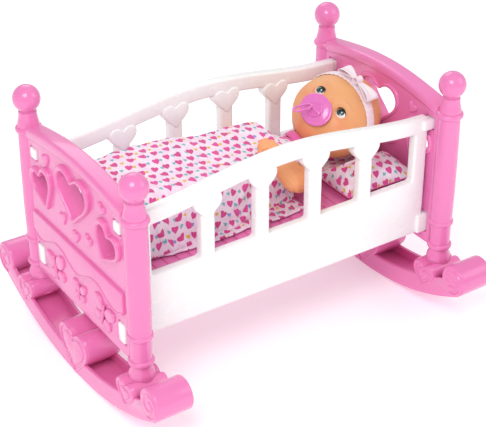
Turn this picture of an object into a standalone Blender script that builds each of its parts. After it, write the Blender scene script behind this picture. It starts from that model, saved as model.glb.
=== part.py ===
"""Interactive baby doll tucked into its rocking cradle.

Run it with: blender --background --python part.py
Units are metres, +Z is up and +X runs from the cradle's foot end to its head end.
The origin is on the floor, under the middle of the cradle.
"""
import math

import bmesh
import bpy
from mathutils import Matrix, Vector

MM = 0.001
GAP = 0.35 * MM

# Cradle frame
END_X = 219 * MM
POST_Y = 125 * MM
POST_FOOT_Z = 68 * MM
POST_HEIGHT = 229 * MM
POST_STEPS = 12
FINIAL_RADIUS = 16.8 * MM
FINIAL_PEG_RADIUS = 5 * MM
FINIAL_PEG_LENGTH = 12 * MM

# End panels
PANEL_HALF_THICKNESS = 8.5 * MM
PANEL_HALF_WIDTH = 116 * MM
PANEL_BOTTOM_Z = 84.5 * MM
ARCH_END_Z = 281 * MM
ARCH_RISE = 14 * MM
CAP_HEIGHT = 14 * MM
CAP_HALF_THICKNESS = 11.5 * MM
VALANCE_TOP_Z = 172 * MM
VALANCE_WAVE = 89 * MM
HEART_RIM = 6 * MM
HEARTS = (  # centre y, centre z, width, height, tilt in degrees
    (0 * MM, 240.5 * MM, 69 * MM, 53 * MM, 0),
    (76 * MM, 218 * MM, 44 * MM, 40 * MM, 22),
    (-76 * MM, 218 * MM, 44 * MM, 40 * MM, -22),
)

# Rockers
ROCKER_RADIUS = 380 * MM
ROCKER_DEPTH = 25 * MM
ROCKER_HALF_WIDTH = 23 * MM
ROCKER_ARC_Y = 190 * MM
SCROLL_RADIUS = 20.5 * MM
CENTRE_HEART = (70 * MM, 63 * MM)
POST_HEART = (40 * MM, 36 * MM)

# Side rails
RAIL_OUTER_Y = 102 * MM
RAIL_THICKNESS = 13 * MM
RAIL_HALF_LENGTH = 207 * MM
RAIL_BOTTOM_Z = 99 * MM
RAIL_PANEL_TOP_Z = 176.5 * MM
RAIL_END_Z = 263 * MM
RAIL_WAVE = 21 * MM
RAIL_BAR = 21 * MM
RAIL_OPENINGS = ((-187, -122), (-103, -47), (-28, 28), (47, 103), (122, 187))
BALUSTER_X = (-112.5 * MM, -37.5 * MM, 37.5 * MM, 112.5 * MM)
BOSS_HEART = (39 * MM, 34 * MM)
TAB_HEIGHTS = ((100 * MM, 126 * MM), (246 * MM, 260 * MM))
TAB_Y = (92 * MM, 106 * MM)

# Bed floor
BED_TOP_Z = 166 * MM
BED_THICKNESS = 7 * MM
BED_HALF_LENGTH = 209.5 * MM
BED_HALF_WIDTH = 88.2 * MM
LEDGE_DEPTH = 7 * MM

# Doll: the body lies on its back with its head towards +X
TORSO_CENTRE = Vector((28 * MM, 6 * MM, 195.6 * MM))
TORSO_HALF = Vector((56 * MM, 37 * MM, 28 * MM))
TORSO_SQUARENESS = 0.6
TORSO_BACK = 26.5 * MM
SHELL = 2.2 * MM
HEAD_CENTRE = Vector((149.6 * MM, 8 * MM, 234.8 * MM))
HEAD_HALF = Vector((54 * MM, 57.5 * MM, 49 * MM))
HEAD_TURN = math.radians(27.5)
HEAD_PITCH = math.radians(23)
HEAD_ROLL = math.radians(7)
NECK_LENGTH = 58 * MM
NECK_RADIUS = 13 * MM
SKIN = 3 * MM
EYE = Vector((20.3 * MM, -7.8 * MM, 36.5 * MM))
EYE_RADIUS = 9 * MM
MOUTH = Vector((0, -27.4 * MM, 42.1 * MM))
MOUTH_TILT = math.radians(20)
SHIELD_OVAL = Vector((1.12, 0.96))
KNOB_GROOVE = 4.6 * MM
RING_TILT = math.radians(36)
RING_HALF_WIDTH = 4.8 * MM
RING_HALF_HEIGHT = 15.5 * MM
RING_WIRE = 1.5 * MM
RING_X = -6 * MM
MOUTH_HOLE_RADIUS = 6.2 * MM
SHIELD_RADIUS = 20 * MM
BAND_TILT = math.radians(36)
BAND_OFFSET = 2.5 * MM
BAND_WIDTH = 13 * MM
BOW_PLACE = Vector((-1.5 * MM, 33.5 * MM, 42.1 * MM))
BOW_TILT = math.radians(30)
SHOULDER_X = 66 * MM
SHOULDER_OFFSET_Y = 54 * MM
HIP = Vector((-46 * MM, 21 * MM, 190 * MM))
HIP_PIN_RADIUS = 3 * MM

# Batteries (AAA cells) and electronics, measured from the middle of the torso
CELL_RADIUS = 5.25 * MM
CELL_LENGTH = 44.5 * MM
CELL_PITCH = 11 * MM
BATTERY_BOX = ((-26 * MM, 33 * MM), (-18 * MM, 18 * MM), (-22.4 * MM, -9.5 * MM))
DOOR_SCREW_X = 25.5 * MM
BUTTON_X = 14 * MM
BUTTON_RADIUS = 9 * MM

# Bedding
PILLOW_CENTRE = Vector((152 * MM, 0, 183.5 * MM))
PILLOW_HALF = Vector((52 * MM, 84 * MM, 16.5 * MM))
PILLOW_DENT_RADIUS = 64 * MM
BLANKET_THICKNESS = 2.5 * MM
BLANKET_X = (-196 * MM, 50 * MM)
BLANKET_Y = (-72 * MM, 78.5 * MM)
CROWN_Z = 241 * MM
CROWN_DROP = 13 * MM
CROWN_FAR_RISE = 20 * MM
FAR_SIDE_Y = (-5 * MM, 25 * MM)
TOES_X = (-190 * MM, -172 * MM)
HUMP_FLAT = (39.5 * MM, 50.5 * MM)
HUMP_FOOT = (46 * MM, 64 * MM)
PAST_HAND_X = (-8 * MM, -38 * MM)
LOOSENING = 50 * MM

# Colours
PINK = (0.87, 0.30, 0.58)
DEEP_PINK = (0.80, 0.18, 0.45)
WHITE = (0.90, 0.90, 0.89)
FABRIC = (0.90, 0.72, 0.84)
SKIN_TONE = (0.86, 0.50, 0.30)
DARK = (0.02, 0.05, 0.06)
GREEN = (0.05, 0.25, 0.10)
STEEL = (0.62, 0.62, 0.64)

model = None
cutters = None


# ---------------------------------------------------------------- helpers

def start_scene():
    for obj in list(bpy.data.objects):
        bpy.data.objects.remove(obj, do_unlink=True)
    groups = []
    for name in ("doll_and_cradle", "cutters"):
        group = bpy.data.collections.new(name)
        bpy.context.scene.collection.children.link(group)
        groups.append(group)
    return groups


def material(name, colour, roughness=0.35, metallic=0.0):
    made = bpy.data.materials.new(name)
    made.use_nodes = True
    shader = made.node_tree.nodes["Principled BSDF"]
    shader.inputs["Base Color"].default_value = (*colour, 1)
    shader.inputs["Roughness"].default_value = roughness
    shader.inputs["Metallic"].default_value = metallic
    return made


def empty(name, location, rotation=None, parent=None):
    made = bpy.data.objects.new(name, None)
    model.objects.link(made)
    made.location = location
    if rotation is not None:
        made.rotation_euler = rotation
    made.parent = parent
    return made


def add(name, mesh, location=(0, 0, 0), parent=None, rotation=(0, 0, 0)):
    made = bpy.data.objects.new(name, mesh)
    model.objects.link(made)
    made.location = location
    made.rotation_euler = rotation
    made.parent = parent
    return made


def finish(obj, colour, roughness=0.35, metallic=0.0, smooth=35):
    obj.data.materials.clear()
    obj.data.materials.append(material(obj.name, colour, roughness, metallic))
    if smooth:
        obj.data.shade_smooth()
        obj.data.set_sharp_from_angle(angle=math.radians(smooth))
    return obj


def as_cutter(obj):
    model.objects.unlink(obj)
    cutters.objects.link(obj)
    obj.hide_render = True
    obj.display_type = "WIRE"
    return obj


def combine(obj, other, operation):
    """Cut with, or fuse on, another object; the other one moves to the cutters."""
    if other.name in model.objects:
        as_cutter(other)
    step = obj.modifiers.new(operation.lower(), "BOOLEAN")
    step.operation = operation
    step.solver = "EXACT"
    step.object = other
    return obj


def bevel(obj, width, segments=1, angle=40):
    step = obj.modifiers.new("bevel", "BEVEL")
    step.width = width
    step.segments = segments
    step.limit_method = "ANGLE"
    step.angle_limit = math.radians(angle)
    return obj


def solidify(obj, thickness, offset):
    step = obj.modifiers.new("wall", "SOLIDIFY")
    step.thickness = thickness
    step.offset = offset
    step.use_even_offset = True
    return obj


def to_mesh(bm, name):
    mesh = bpy.data.meshes.new(name)
    bm.to_mesh(mesh)
    bm.free()
    return mesh


def box_into(bm, x, y, z):
    """Add a box between pairs of limits."""
    size = Vector((x[1] - x[0], y[1] - y[0], z[1] - z[0]))
    middle = Vector((x[0] + x[1], y[0] + y[1], z[0] + z[1])) / 2
    matrix = Matrix.Translation(middle) @ Matrix.Diagonal((*size, 1))
    bmesh.ops.create_cube(bm, size=1, matrix=matrix)


def boxes(name, limits, location=(0, 0, 0), parent=None, rotation=(0, 0, 0)):
    bm = bmesh.new()
    for x, y, z in limits:
        box_into(bm, x, y, z)
    return add(name, to_mesh(bm, name), location, parent, rotation)


def cylinder_into(bm, radius, start, end, segments=24):
    start, end = Vector(start), Vector(end)
    axis = end - start
    turn = Vector((0, 0, 1)).rotation_difference(axis).to_matrix().to_4x4()
    bmesh.ops.create_cone(
        bm, cap_ends=True, segments=segments, radius1=radius, radius2=radius,
        depth=axis.length, matrix=Matrix.Translation((start + end) / 2) @ turn)


def cylinders(name, rods, location=(0, 0, 0), parent=None, rotation=(0, 0, 0), segments=24):
    """One object with a cylinder for each (radius, start, end)."""
    bm = bmesh.new()
    for radius, start, end in rods:
        cylinder_into(bm, radius, start, end, segments)
    return add(name, to_mesh(bm, name), location, parent, rotation)


def turned(name, profile, location=(0, 0, 0), parent=None, rotation=(0, 0, 0), steps=20,
           closed=False):
    """Turn a profile of (radius, height) points, listed from the top down, about Z."""
    bm = bmesh.new()
    points = [bm.verts.new((radius, 0, height)) for radius, height in profile]
    for first, second in zip(points, points[1:]):
        bm.edges.new((first, second))
    if closed:
        bm.edges.new((points[-1], points[0]))
    made = add(name, to_mesh(bm, name), location, parent, rotation)
    screw = made.modifiers.new("turn", "SCREW")
    screw.steps = steps
    screw.render_steps = steps
    screw.use_merge_vertices = True
    screw.merge_threshold = 0.00001
    return made


def swollen(profile, extra):
    """The same turned profile, grown by a clearance."""
    top, bottom = profile[0][1], profile[-1][1]
    grown = []
    for radius, height in profile:
        if height == top:
            height += extra
        if height == bottom:
            height -= extra
        grown.append((radius + extra if radius > 0 else 0, height))
    return grown


def prism(name, loops, half_depth, centre=0.0, axis="X", parent=None):
    """Extrude flat outlines along X (points are y, z) or along Y (points are x, z)."""
    curve = bpy.data.curves.new(name, "CURVE")
    curve.dimensions = "2D"
    curve.fill_mode = "BOTH"
    curve.extrude = half_depth
    for loop in loops:
        spline = curve.splines.new("POLY")
        spline.points.add(len(loop) - 1)
        for point, (across, up) in zip(spline.points, loop):
            point.co = (across, up, 0, 1)
        spline.use_cyclic_u = True
    flat = bpy.data.objects.new(name + "_outline", curve)
    model.objects.link(flat)
    bpy.context.view_layer.update()
    mesh = bpy.data.meshes.new_from_object(flat.evaluated_get(bpy.context.evaluated_depsgraph_get()))
    bpy.data.objects.remove(flat)
    bpy.data.curves.remove(curve)
    if axis == "X":
        turn = Matrix(((0, 0, 1, centre), (1, 0, 0, 0), (0, 1, 0, 0), (0, 0, 0, 1)))
    else:
        turn = Matrix(((1, 0, 0, 0), (0, 0, -1, centre), (0, 1, 0, 0), (0, 0, 0, 1)))
    bm = bmesh.new()
    bm.from_mesh(mesh)
    bmesh.ops.remove_doubles(bm, verts=bm.verts, dist=1e-6)
    bm.transform(turn)
    if bm.calc_volume(signed=True) < 0:
        bmesh.ops.reverse_faces(bm, faces=bm.faces)
    bm.to_mesh(mesh)
    bm.free()
    mesh.name = name
    mesh.materials.clear()
    return add(name, mesh, parent=parent)


def heart(centre, width, height, tilt=0.0, grow=0.0, count=14):
    """A heart's outline: centre, overall width and height, tilt in degrees."""
    points = []
    turn = Matrix.Rotation(math.radians(-tilt), 2)
    for index in range(count):
        angle = 2 * math.pi * index / count
        across = math.sin(angle) ** 3 / 2
        up = (13 * math.cos(angle) - 5 * math.cos(2 * angle)
              - 2 * math.cos(3 * angle) - math.cos(4 * angle)) / 29 + 0.087
        flat = turn @ Vector((across * (width + 2 * grow), up * (height + 2 * grow)))
        points.append((centre[0] + flat.x, centre[1] + flat.y))
    return points


def rectangle(across, up):
    return [(across[0], up[0]), (across[1], up[0]), (across[1], up[1]), (across[0], up[1])]


def sign_power(value, power):
    return math.copysign(abs(value) ** power, value)


def rounded_block(half, squareness, around=20, along=12, pole="X"):
    """A sphere pushed towards a box: squareness 1 is an ellipsoid, lower is boxier."""
    bm = bmesh.new()
    bmesh.ops.create_uvsphere(bm, u_segments=around, v_segments=along, radius=1)
    for vert in bm.verts:
        x, y, z = vert.co
        latitude = math.asin(max(-1, min(1, z)))
        longitude = math.atan2(y, x)
        ring = math.cos(latitude) ** squareness
        pole_part = sign_power(math.sin(latitude), squareness)
        first = ring * sign_power(math.cos(longitude), squareness)
        second = ring * sign_power(math.sin(longitude), squareness)
        if abs(z) > 0.9999:
            first = second = 0
        if pole == "X":
            vert.co = (pole_part * half[0], first * half[1], second * half[2])
        elif pole == "Y":
            vert.co = (second * half[0], pole_part * half[1], first * half[2])
        else:
            vert.co = (first * half[0], second * half[1], pole_part * half[2])
    return bm


def smooth_route(controls, samples):
    """Catmull-Rom curve through (x, y, z, radius) controls."""
    points = [Vector(control) for control in controls]
    points = [2 * points[0] - points[1]] + points + [2 * points[-1] - points[-2]]
    route = []
    for index in range(1, len(points) - 2):
        before, start, end, after = points[index - 1:index + 3]
        for step in range(samples):
            t = step / samples
            route.append(0.5 * (2 * start + (end - before) * t
                                + (2 * before - 5 * start + 4 * end - after) * t ** 2
                                + (3 * start - 3 * end + after - before) * t ** 3))
    route.append(points[-2])
    return route


def limb(name, controls, location, parent, samples=2, sides=2):
    """A rounded limb along a smooth route whose fourth value is its radius."""
    curve = bpy.data.curves.new(name, "CURVE")
    curve.dimensions = "3D"
    curve.bevel_depth = 1.0
    curve.bevel_resolution = sides
    curve.use_fill_caps = True
    route = smooth_route(controls, samples)
    spline = curve.splines.new("POLY")
    spline.points.add(len(route) - 1)
    for point, value in zip(spline.points, route):
        point.co = (*value[:3], 1)
        point.radius = value[3]
    tube = bpy.data.objects.new(name + "_route", curve)
    model.objects.link(tube)
    bpy.context.view_layer.update()
    mesh = bpy.data.meshes.new_from_object(tube.evaluated_get(bpy.context.evaluated_depsgraph_get()))
    bpy.data.objects.remove(tube)
    bpy.data.curves.remove(curve)
    bm = bmesh.new()
    bm.from_mesh(mesh)
    bmesh.ops.remove_doubles(bm, verts=bm.verts, dist=1e-6)
    bmesh.ops.recalc_face_normals(bm, faces=bm.faces)
    bm.to_mesh(mesh)
    bm.free()
    mesh.name = name
    mesh.materials.clear()
    return add(name, mesh, location, parent)


# ---------------------------------------------------------------- cradle

def post_profile():
    """Radius and height above the post's foot, from the top down."""
    rows = ((0, 229), (11, 229), (13.3, 213), (16.5, 206), (13.5, 197),
            (13.5, 62), (14.7, 55), (13, 48), (13, 26), (15.5, 20),
            (13, 13), (15.2, 5), (15.2, 0), (0, 0))
    return [(radius * MM, height * MM) for radius, height in rows]


def arch_z(y):
    return ARCH_END_Z + ARCH_RISE * math.cos(math.pi * y / (2 * PANEL_HALF_WIDTH))


def arch_band(top_drop, bottom_drop, count=10):
    """Outline of a strip that follows the panel's arched top."""
    half = PANEL_HALF_WIDTH + 1 * MM
    steps = [half * (2 * index / count - 1) for index in range(count + 1)]
    lower = [(y, arch_z(y) - bottom_drop) for y in steps]
    upper = [(y, arch_z(y) - top_drop) for y in reversed(steps)]
    return lower + upper


def plate_outline(count=10):
    steps = [PANEL_HALF_WIDTH * (1 - 2 * index / count) for index in range(count + 1)]
    top = [(y, arch_z(y) - CAP_HEIGHT / 2) for y in steps]
    return [(-PANEL_HALF_WIDTH, PANEL_BOTTOM_Z), (PANEL_HALF_WIDTH, PANEL_BOTTOM_Z)] + top


def valance_outline(count=18):
    half = 110 * MM
    steps = [half * (2 * index / count - 1) for index in range(count + 1)]
    lower = [(y, 145.5 * MM - 7.5 * MM * math.cos(2 * math.pi * y / VALANCE_WAVE)) for y in steps]
    return lower + [(half, VALANCE_TOP_Z), (-half, VALANCE_TOP_Z)]


def tab_slots():
    slots = []
    for side in (-1, 1):
        near, far = sorted((side * (TAB_Y[0] - GAP), side * (TAB_Y[1] + GAP)))
        for low, high in TAB_HEIGHTS:
            slots.append(rectangle((near, far), (low - GAP, high + GAP)))
    return slots


def make_panel(name, end):
    """One end panel; its outer face looks along +X before its frame turns it to its end."""
    frame = empty(name + "_frame", (end * END_X, 0, 0), (0, 0, 0 if end > 0 else math.pi))
    holes = [heart((y, z), width, height, tilt) for y, z, width, height, tilt in HEARTS]
    panel = prism(name, [plate_outline()] + holes, PANEL_HALF_THICKNESS, parent=frame)
    cap = prism(name + "_cap", [arch_band(0, CAP_HEIGHT)], CAP_HALF_THICKNESS, parent=frame)
    combine(panel, cap, "UNION")
    valance = prism(name + "_valance", [valance_outline()], 5 * MM, 8 * MM, parent=frame)
    combine(panel, valance, "UNION")
    ledge_z = BED_TOP_Z - BED_THICKNESS - GAP
    inner = -PANEL_HALF_THICKNESS - LEDGE_DEPTH
    ledge = boxes(name + "_ledge", [((inner, -4 * MM), (-84 * MM, 84 * MM),
                                     (ledge_z - 9 * MM, ledge_z))], parent=frame)
    combine(panel, ledge, "UNION")
    for index, (y, z, width, height, tilt) in enumerate(HEARTS):
        rim = prism(f"{name}_rim_{index}", [heart((y, z), width, height, tilt, HEART_RIM),
                                            heart((y, z), width, height, tilt, -0.5 * MM)],
                    13 * MM, 1.5 * MM, parent=frame)
        combine(panel, rim, "UNION")
    slot = prism(name + "_slots", tab_slots(), 20 * MM, parent=frame)
    combine(panel, slot, "DIFFERENCE")
    for side in (-1, 1):
        clearance = turned(f"{name}_post_clearance_{side + 1}", swollen(post_profile(), GAP),
                           (0, side * POST_Y, POST_FOOT_Z), frame, steps=POST_STEPS)
        combine(panel, clearance, "DIFFERENCE")
    return finish(panel, PINK, 0.25)


def make_posts():
    for end, end_name in ((-1, "foot"), (1, "head")):
        for side, side_name in ((-1, "near"), (1, "far")):
            place = (end * END_X, side * POST_Y, POST_FOOT_Z)
            post = turned(f"post_{end_name}_{side_name}", post_profile(), place, steps=POST_STEPS)
            peg_floor = POST_HEIGHT - FINIAL_PEG_LENGTH - 1 * MM
            bores = cylinders(
                f"post_bores_{end_name}_{side_name}",
                [(FINIAL_PEG_RADIUS + GAP, (0, 0, peg_floor), (0, 0, POST_HEIGHT + 5 * MM)),
                 (2.0 * MM, (0, 0, -5 * MM), (0, 0, 17 * MM))], place, segments=16)
            combine(post, bores, "DIFFERENCE")
            finish(post, PINK, 0.25)
            make_finial(f"finial_{end_name}_{side_name}", place)
            make_rocker_screw(f"rocker_screw_{end_name}_{side_name}", place)


def make_finial(name, place):
    """A ball with a peg that presses into the top of the post."""
    centre = POST_HEIGHT + FINIAL_RADIUS - 1.2 * MM
    neck_angle = math.asin(9 * MM / FINIAL_RADIUS)
    profile = []
    for index in range(8):
        angle = index / 7 * (math.pi - neck_angle)
        profile.append((FINIAL_RADIUS * math.sin(angle), centre + FINIAL_RADIUS * math.cos(angle)))
    seat = POST_HEIGHT + GAP
    profile += [(9 * MM, seat), (FINIAL_PEG_RADIUS, seat),
                (FINIAL_PEG_RADIUS, POST_HEIGHT - FINIAL_PEG_LENGTH),
                (0, POST_HEIGHT - FINIAL_PEG_LENGTH)]
    profile[0] = (0, centre + FINIAL_RADIUS)
    ball = turned(name, profile, place, steps=14)
    return finish(ball, PINK, 0.22)


def make_rocker_screw(name, place):
    """A screw that comes up through the rocker into the post."""
    rows = ((0, 15), (1.6, 15), (1.6, -20), (4.2, -20), (4.2, -23), (0, -23))
    screw = turned(name, [(radius * MM, height * MM) for radius, height in rows], place, steps=12)
    return finish(screw, STEEL, 0.35, 1.0)


def rocker_band(count=23):
    """The curved runner, from one scroll to the other, with its middle facet on the floor."""
    reach = math.asin(ROCKER_ARC_Y / ROCKER_RADIUS)
    angles = [reach * (2 * index / count - 1) for index in range(count + 1)]
    centre_z = ROCKER_RADIUS * math.cos(reach / count)
    outer = [(ROCKER_RADIUS * math.sin(a), centre_z - ROCKER_RADIUS * math.cos(a)) for a in angles]
    inner_radius = ROCKER_RADIUS - ROCKER_DEPTH
    inner = [(inner_radius * math.sin(a), centre_z - inner_radius * math.cos(a))
             for a in reversed(angles)]
    return outer + inner


def make_rocker(name, end):
    frame = empty(name + "_frame", (end * END_X, 0, 0))
    rocker = prism(name, [rocker_band()], ROCKER_HALF_WIDTH, parent=frame)
    width, height = CENTRE_HEART
    half = ROCKER_HALF_WIDTH + 1.5 * MM
    centre = prism(name + "_heart", [heart((0, height / 2 + 0.5 * MM), width, height, count=18)],
                   half, parent=frame)
    combine(rocker, centre, "UNION")
    reach = math.asin(ROCKER_ARC_Y / ROCKER_RADIUS)
    scroll_centre = ROCKER_RADIUS - SCROLL_RADIUS - 0.4 * MM
    half_scroll = ROCKER_HALF_WIDTH + 0.8 * MM
    for side in (-1, 1):
        middle = side * POST_Y
        block = prism(f"{name}_post_heart_{side + 1}",
                      [heart((middle, 49 * MM), *POST_HEART, count=16)], half, parent=frame)
        combine(rocker, block, "UNION")
        y = side * scroll_centre * math.sin(reach)
        z = ROCKER_RADIUS - scroll_centre * math.cos(reach)
        scroll = cylinders(f"{name}_scroll_{side + 1}",
                           [(SCROLL_RADIUS, (-half_scroll, y, z), (half_scroll, y, z))],
                           parent=frame, segments=18)
        combine(rocker, scroll, "UNION")
        pad = boxes(f"{name}_pad_{side + 1}", [
            ((-16 * MM, 16 * MM), (middle - 16 * MM, middle + 16 * MM),
             (45 * MM, POST_FOOT_Z - GAP))], parent=frame)
        combine(rocker, pad, "UNION")
        bore = cylinders(f"{name}_bore_{side + 1}",
                         [(1.9 * MM, (0, middle, 10 * MM), (0, middle, 80 * MM))],
                         parent=frame, segments=12)
        combine(rocker, bore, "DIFFERENCE")
        well = cylinders(f"{name}_well_{side + 1}",
                         [(5 * MM, (0, middle, 10 * MM), (0, middle, POST_FOOT_Z - 19.5 * MM))],
                         parent=frame, segments=12)
        combine(rocker, well, "DIFFERENCE")
    return finish(rocker, PINK, 0.25)


def rail_top(x):
    return RAIL_END_Z + RAIL_WAVE * (1 + math.cos(math.pi * x / RAIL_HALF_LENGTH)) / 2


def rail_opening(left, right, count=3):
    steps = [right + (left - right) * index / count for index in range(count + 1)]
    return [(left, RAIL_PANEL_TOP_Z), (right, RAIL_PANEL_TOP_Z)] + [
        (x, rail_top(x) - RAIL_BAR) for x in steps]


def make_rail(name, side):
    steps = [RAIL_HALF_LENGTH * (1 - 2 * index / 16) for index in range(17)]
    outline = [(-RAIL_HALF_LENGTH, RAIL_BOTTOM_Z), (RAIL_HALF_LENGTH, RAIL_BOTTOM_Z)]
    outline += [(x, rail_top(x)) for x in steps]
    openings = [rail_opening(left * MM, right * MM) for left, right in RAIL_OPENINGS]
    middle = side * (RAIL_OUTER_Y - RAIL_THICKNESS / 2)
    rail = prism(name, [outline] + openings, RAIL_THICKNESS / 2, middle, "Y")
    bosses = []
    for x in BALUSTER_X:
        bosses.append(heart((x, rail_top(x) - RAIL_BAR - 9 * MM), *BOSS_HEART, count=12))
    boss = prism(name + "_bosses", bosses, RAIL_THICKNESS / 2 + 1.5 * MM, middle, "Y")
    combine(rail, boss, "UNION")
    tabs = []
    near, far = sorted((side * TAB_Y[0], side * TAB_Y[1]))
    for end in (-1, 1):
        inner, outer = sorted((end * 197 * MM, end * (END_X + PANEL_HALF_THICKNESS + 2 * MM)))
        for low, high in TAB_HEIGHTS:
            tabs.append(((inner, outer), (near, far), (low, high)))
    combine(rail, boxes(name + "_tabs", tabs), "UNION")
    return finish(rail, WHITE, 0.25)


def make_bed_floor():
    floor = boxes("bed_floor", [(
        (-BED_HALF_LENGTH, BED_HALF_LENGTH), (-BED_HALF_WIDTH, BED_HALF_WIDTH),
        (BED_TOP_Z - BED_THICKNESS, BED_TOP_Z))])
    bevel(floor, 1.2 * MM)
    return finish(floor, PINK, 0.3)


def make_cradle():
    for end, end_name in ((-1, "foot"), (1, "head")):
        make_panel(end_name + "_panel", end)
        make_rocker(end_name + "_rocker", end)
    make_posts()
    make_rail("side_rail_near", -1)
    make_rail("side_rail_far", 1)
    make_bed_floor()


# ---------------------------------------------------------------- doll's head

def head_rotation():
    """Local X is the doll's left, Y its crown and Z the way its face looks."""
    turn = (Matrix.Rotation(HEAD_TURN, 3, "X") @ Matrix.Rotation(-math.pi / 2, 3, "Z")
            @ Matrix.Rotation(HEAD_PITCH, 3, "X") @ Matrix.Rotation(HEAD_ROLL, 3, "Z"))
    return turn.to_euler()


def open_head(grow, hole_radius):
    """The head's outer surface, left open at the neck."""
    half = HEAD_HALF + Vector((grow, grow, grow))
    bm = rounded_block(half, 1.0, 20, 12, "Y")
    for vert in bm.verts:
        cheeks = math.exp(-((vert.co.y + 22 * MM) / (20 * MM)) ** 2)
        if vert.co.z > 0:
            vert.co.x *= 1 + 0.035 * cheeks
    doomed = [vert for vert in bm.verts
              if vert.co.y < 0 and math.hypot(vert.co.x, vert.co.z) < hole_radius]
    bmesh.ops.delete(bm, geom=doomed, context="VERTS")
    return bm


def make_head(neck):
    centre = (0, NECK_LENGTH, 0)
    head = add("head", to_mesh(open_head(0, 14 * MM), "head"), centre, neck)
    solidify(head, SKIN, -1)
    cuts = cylinders("mouth_cutter", [(MOUTH_HOLE_RADIUS, (0, 0, -12 * MM), (0, 0, 12 * MM))],
                     MOUTH + Vector(centre), neck, (MOUTH_TILT, 0, 0), segments=20)
    combine(head, cuts, "DIFFERENCE")
    for side, side_name in ((1, "left"), (-1, "right")):
        place = Vector((side * EYE.x, EYE.y, EYE.z)) + Vector(centre)
        bm = bmesh.new()
        bmesh.ops.create_uvsphere(bm, u_segments=12, v_segments=8, radius=EYE_RADIUS)
        eye = add(f"eye_{side_name}", to_mesh(bm, f"eye_{side_name}"), place, neck)
        finish(eye, DARK, 0.08)
        bm = bmesh.new()
        bmesh.ops.create_uvsphere(bm, u_segments=12, v_segments=8, radius=EYE_RADIUS + 0.5 * MM)
        socket = add(f"eye_socket_{side_name}", to_mesh(bm, "eye_socket"), place, neck)
        combine(head, socket, "DIFFERENCE")
    return finish(head, SKIN_TONE, 0.45)


def make_headband(neck):
    """A fabric band cut from a skin just outside the head, with a flat bow."""
    centre = Vector((0, NECK_LENGTH, 0))
    band = add("headband", to_mesh(open_head(GAP, 20 * MM), "headband"), centre, neck)
    solidify(band, 1.6 * MM, 1)
    half = BAND_WIDTH / 2
    slab = boxes("headband_slab", [((-80 * MM, 80 * MM), (-half, half), (-80 * MM, 80 * MM))],
                 centre + Vector((0, BAND_OFFSET, 0)), neck, (-BAND_TILT, 0, 0))
    combine(band, slab, "INTERSECT")
    finish(band, WHITE, 0.8)
    front = centre + BOW_PLACE
    tilt = (-BOW_TILT, 0, 0)
    for side, side_name in ((1, "left"), (-1, "right")):
        bm = rounded_block((14 * MM, 9 * MM, 3.5 * MM), 0.8, 14, 8, "X")
        for vert in bm.verts:
            vert.co.y *= 0.55 + 0.45 * (vert.co.x * side / (14 * MM) + 1) / 2
        loop = add(f"bow_loop_{side_name}", to_mesh(bm, "bow_loop"),
                   front + Vector((side * 19 * MM, 0, 3.5 * MM)), neck, tilt)
        finish(loop, WHITE, 0.8)
    bm = rounded_block((4.2 * MM, 5.5 * MM, 4.5 * MM), 0.8, 12, 8, "Z")
    knot = add("bow_knot", to_mesh(bm, "bow_knot"), front + Vector((0, 0, 5.5 * MM)), neck, tilt)
    finish(knot, WHITE, 0.8)


def oval_disc(rows, stretch, sides=24):
    """A closed disc from (radius, height) rows, wider along X than along Y."""
    bm = bmesh.new()
    rings = []
    for radius, height in rows:
        if radius:
            turns = [2 * math.pi * index / sides for index in range(sides)]
            rings.append([bm.verts.new((radius * stretch.x * math.cos(turn),
                                        radius * stretch.y * math.sin(turn), height)) for turn in turns])
        else:
            rings.append([bm.verts.new((0, 0, height))] * sides)
    for first, second in zip(rings, rings[1:]):
        for index in range(sides):
            other = (index + 1) % sides
            corners = (first[index], first[other], second[other], second[index])
            bm.faces.new(tuple(dict.fromkeys(corners)))
    bmesh.ops.recalc_face_normals(bm, faces=bm.faces)
    return bm


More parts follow.
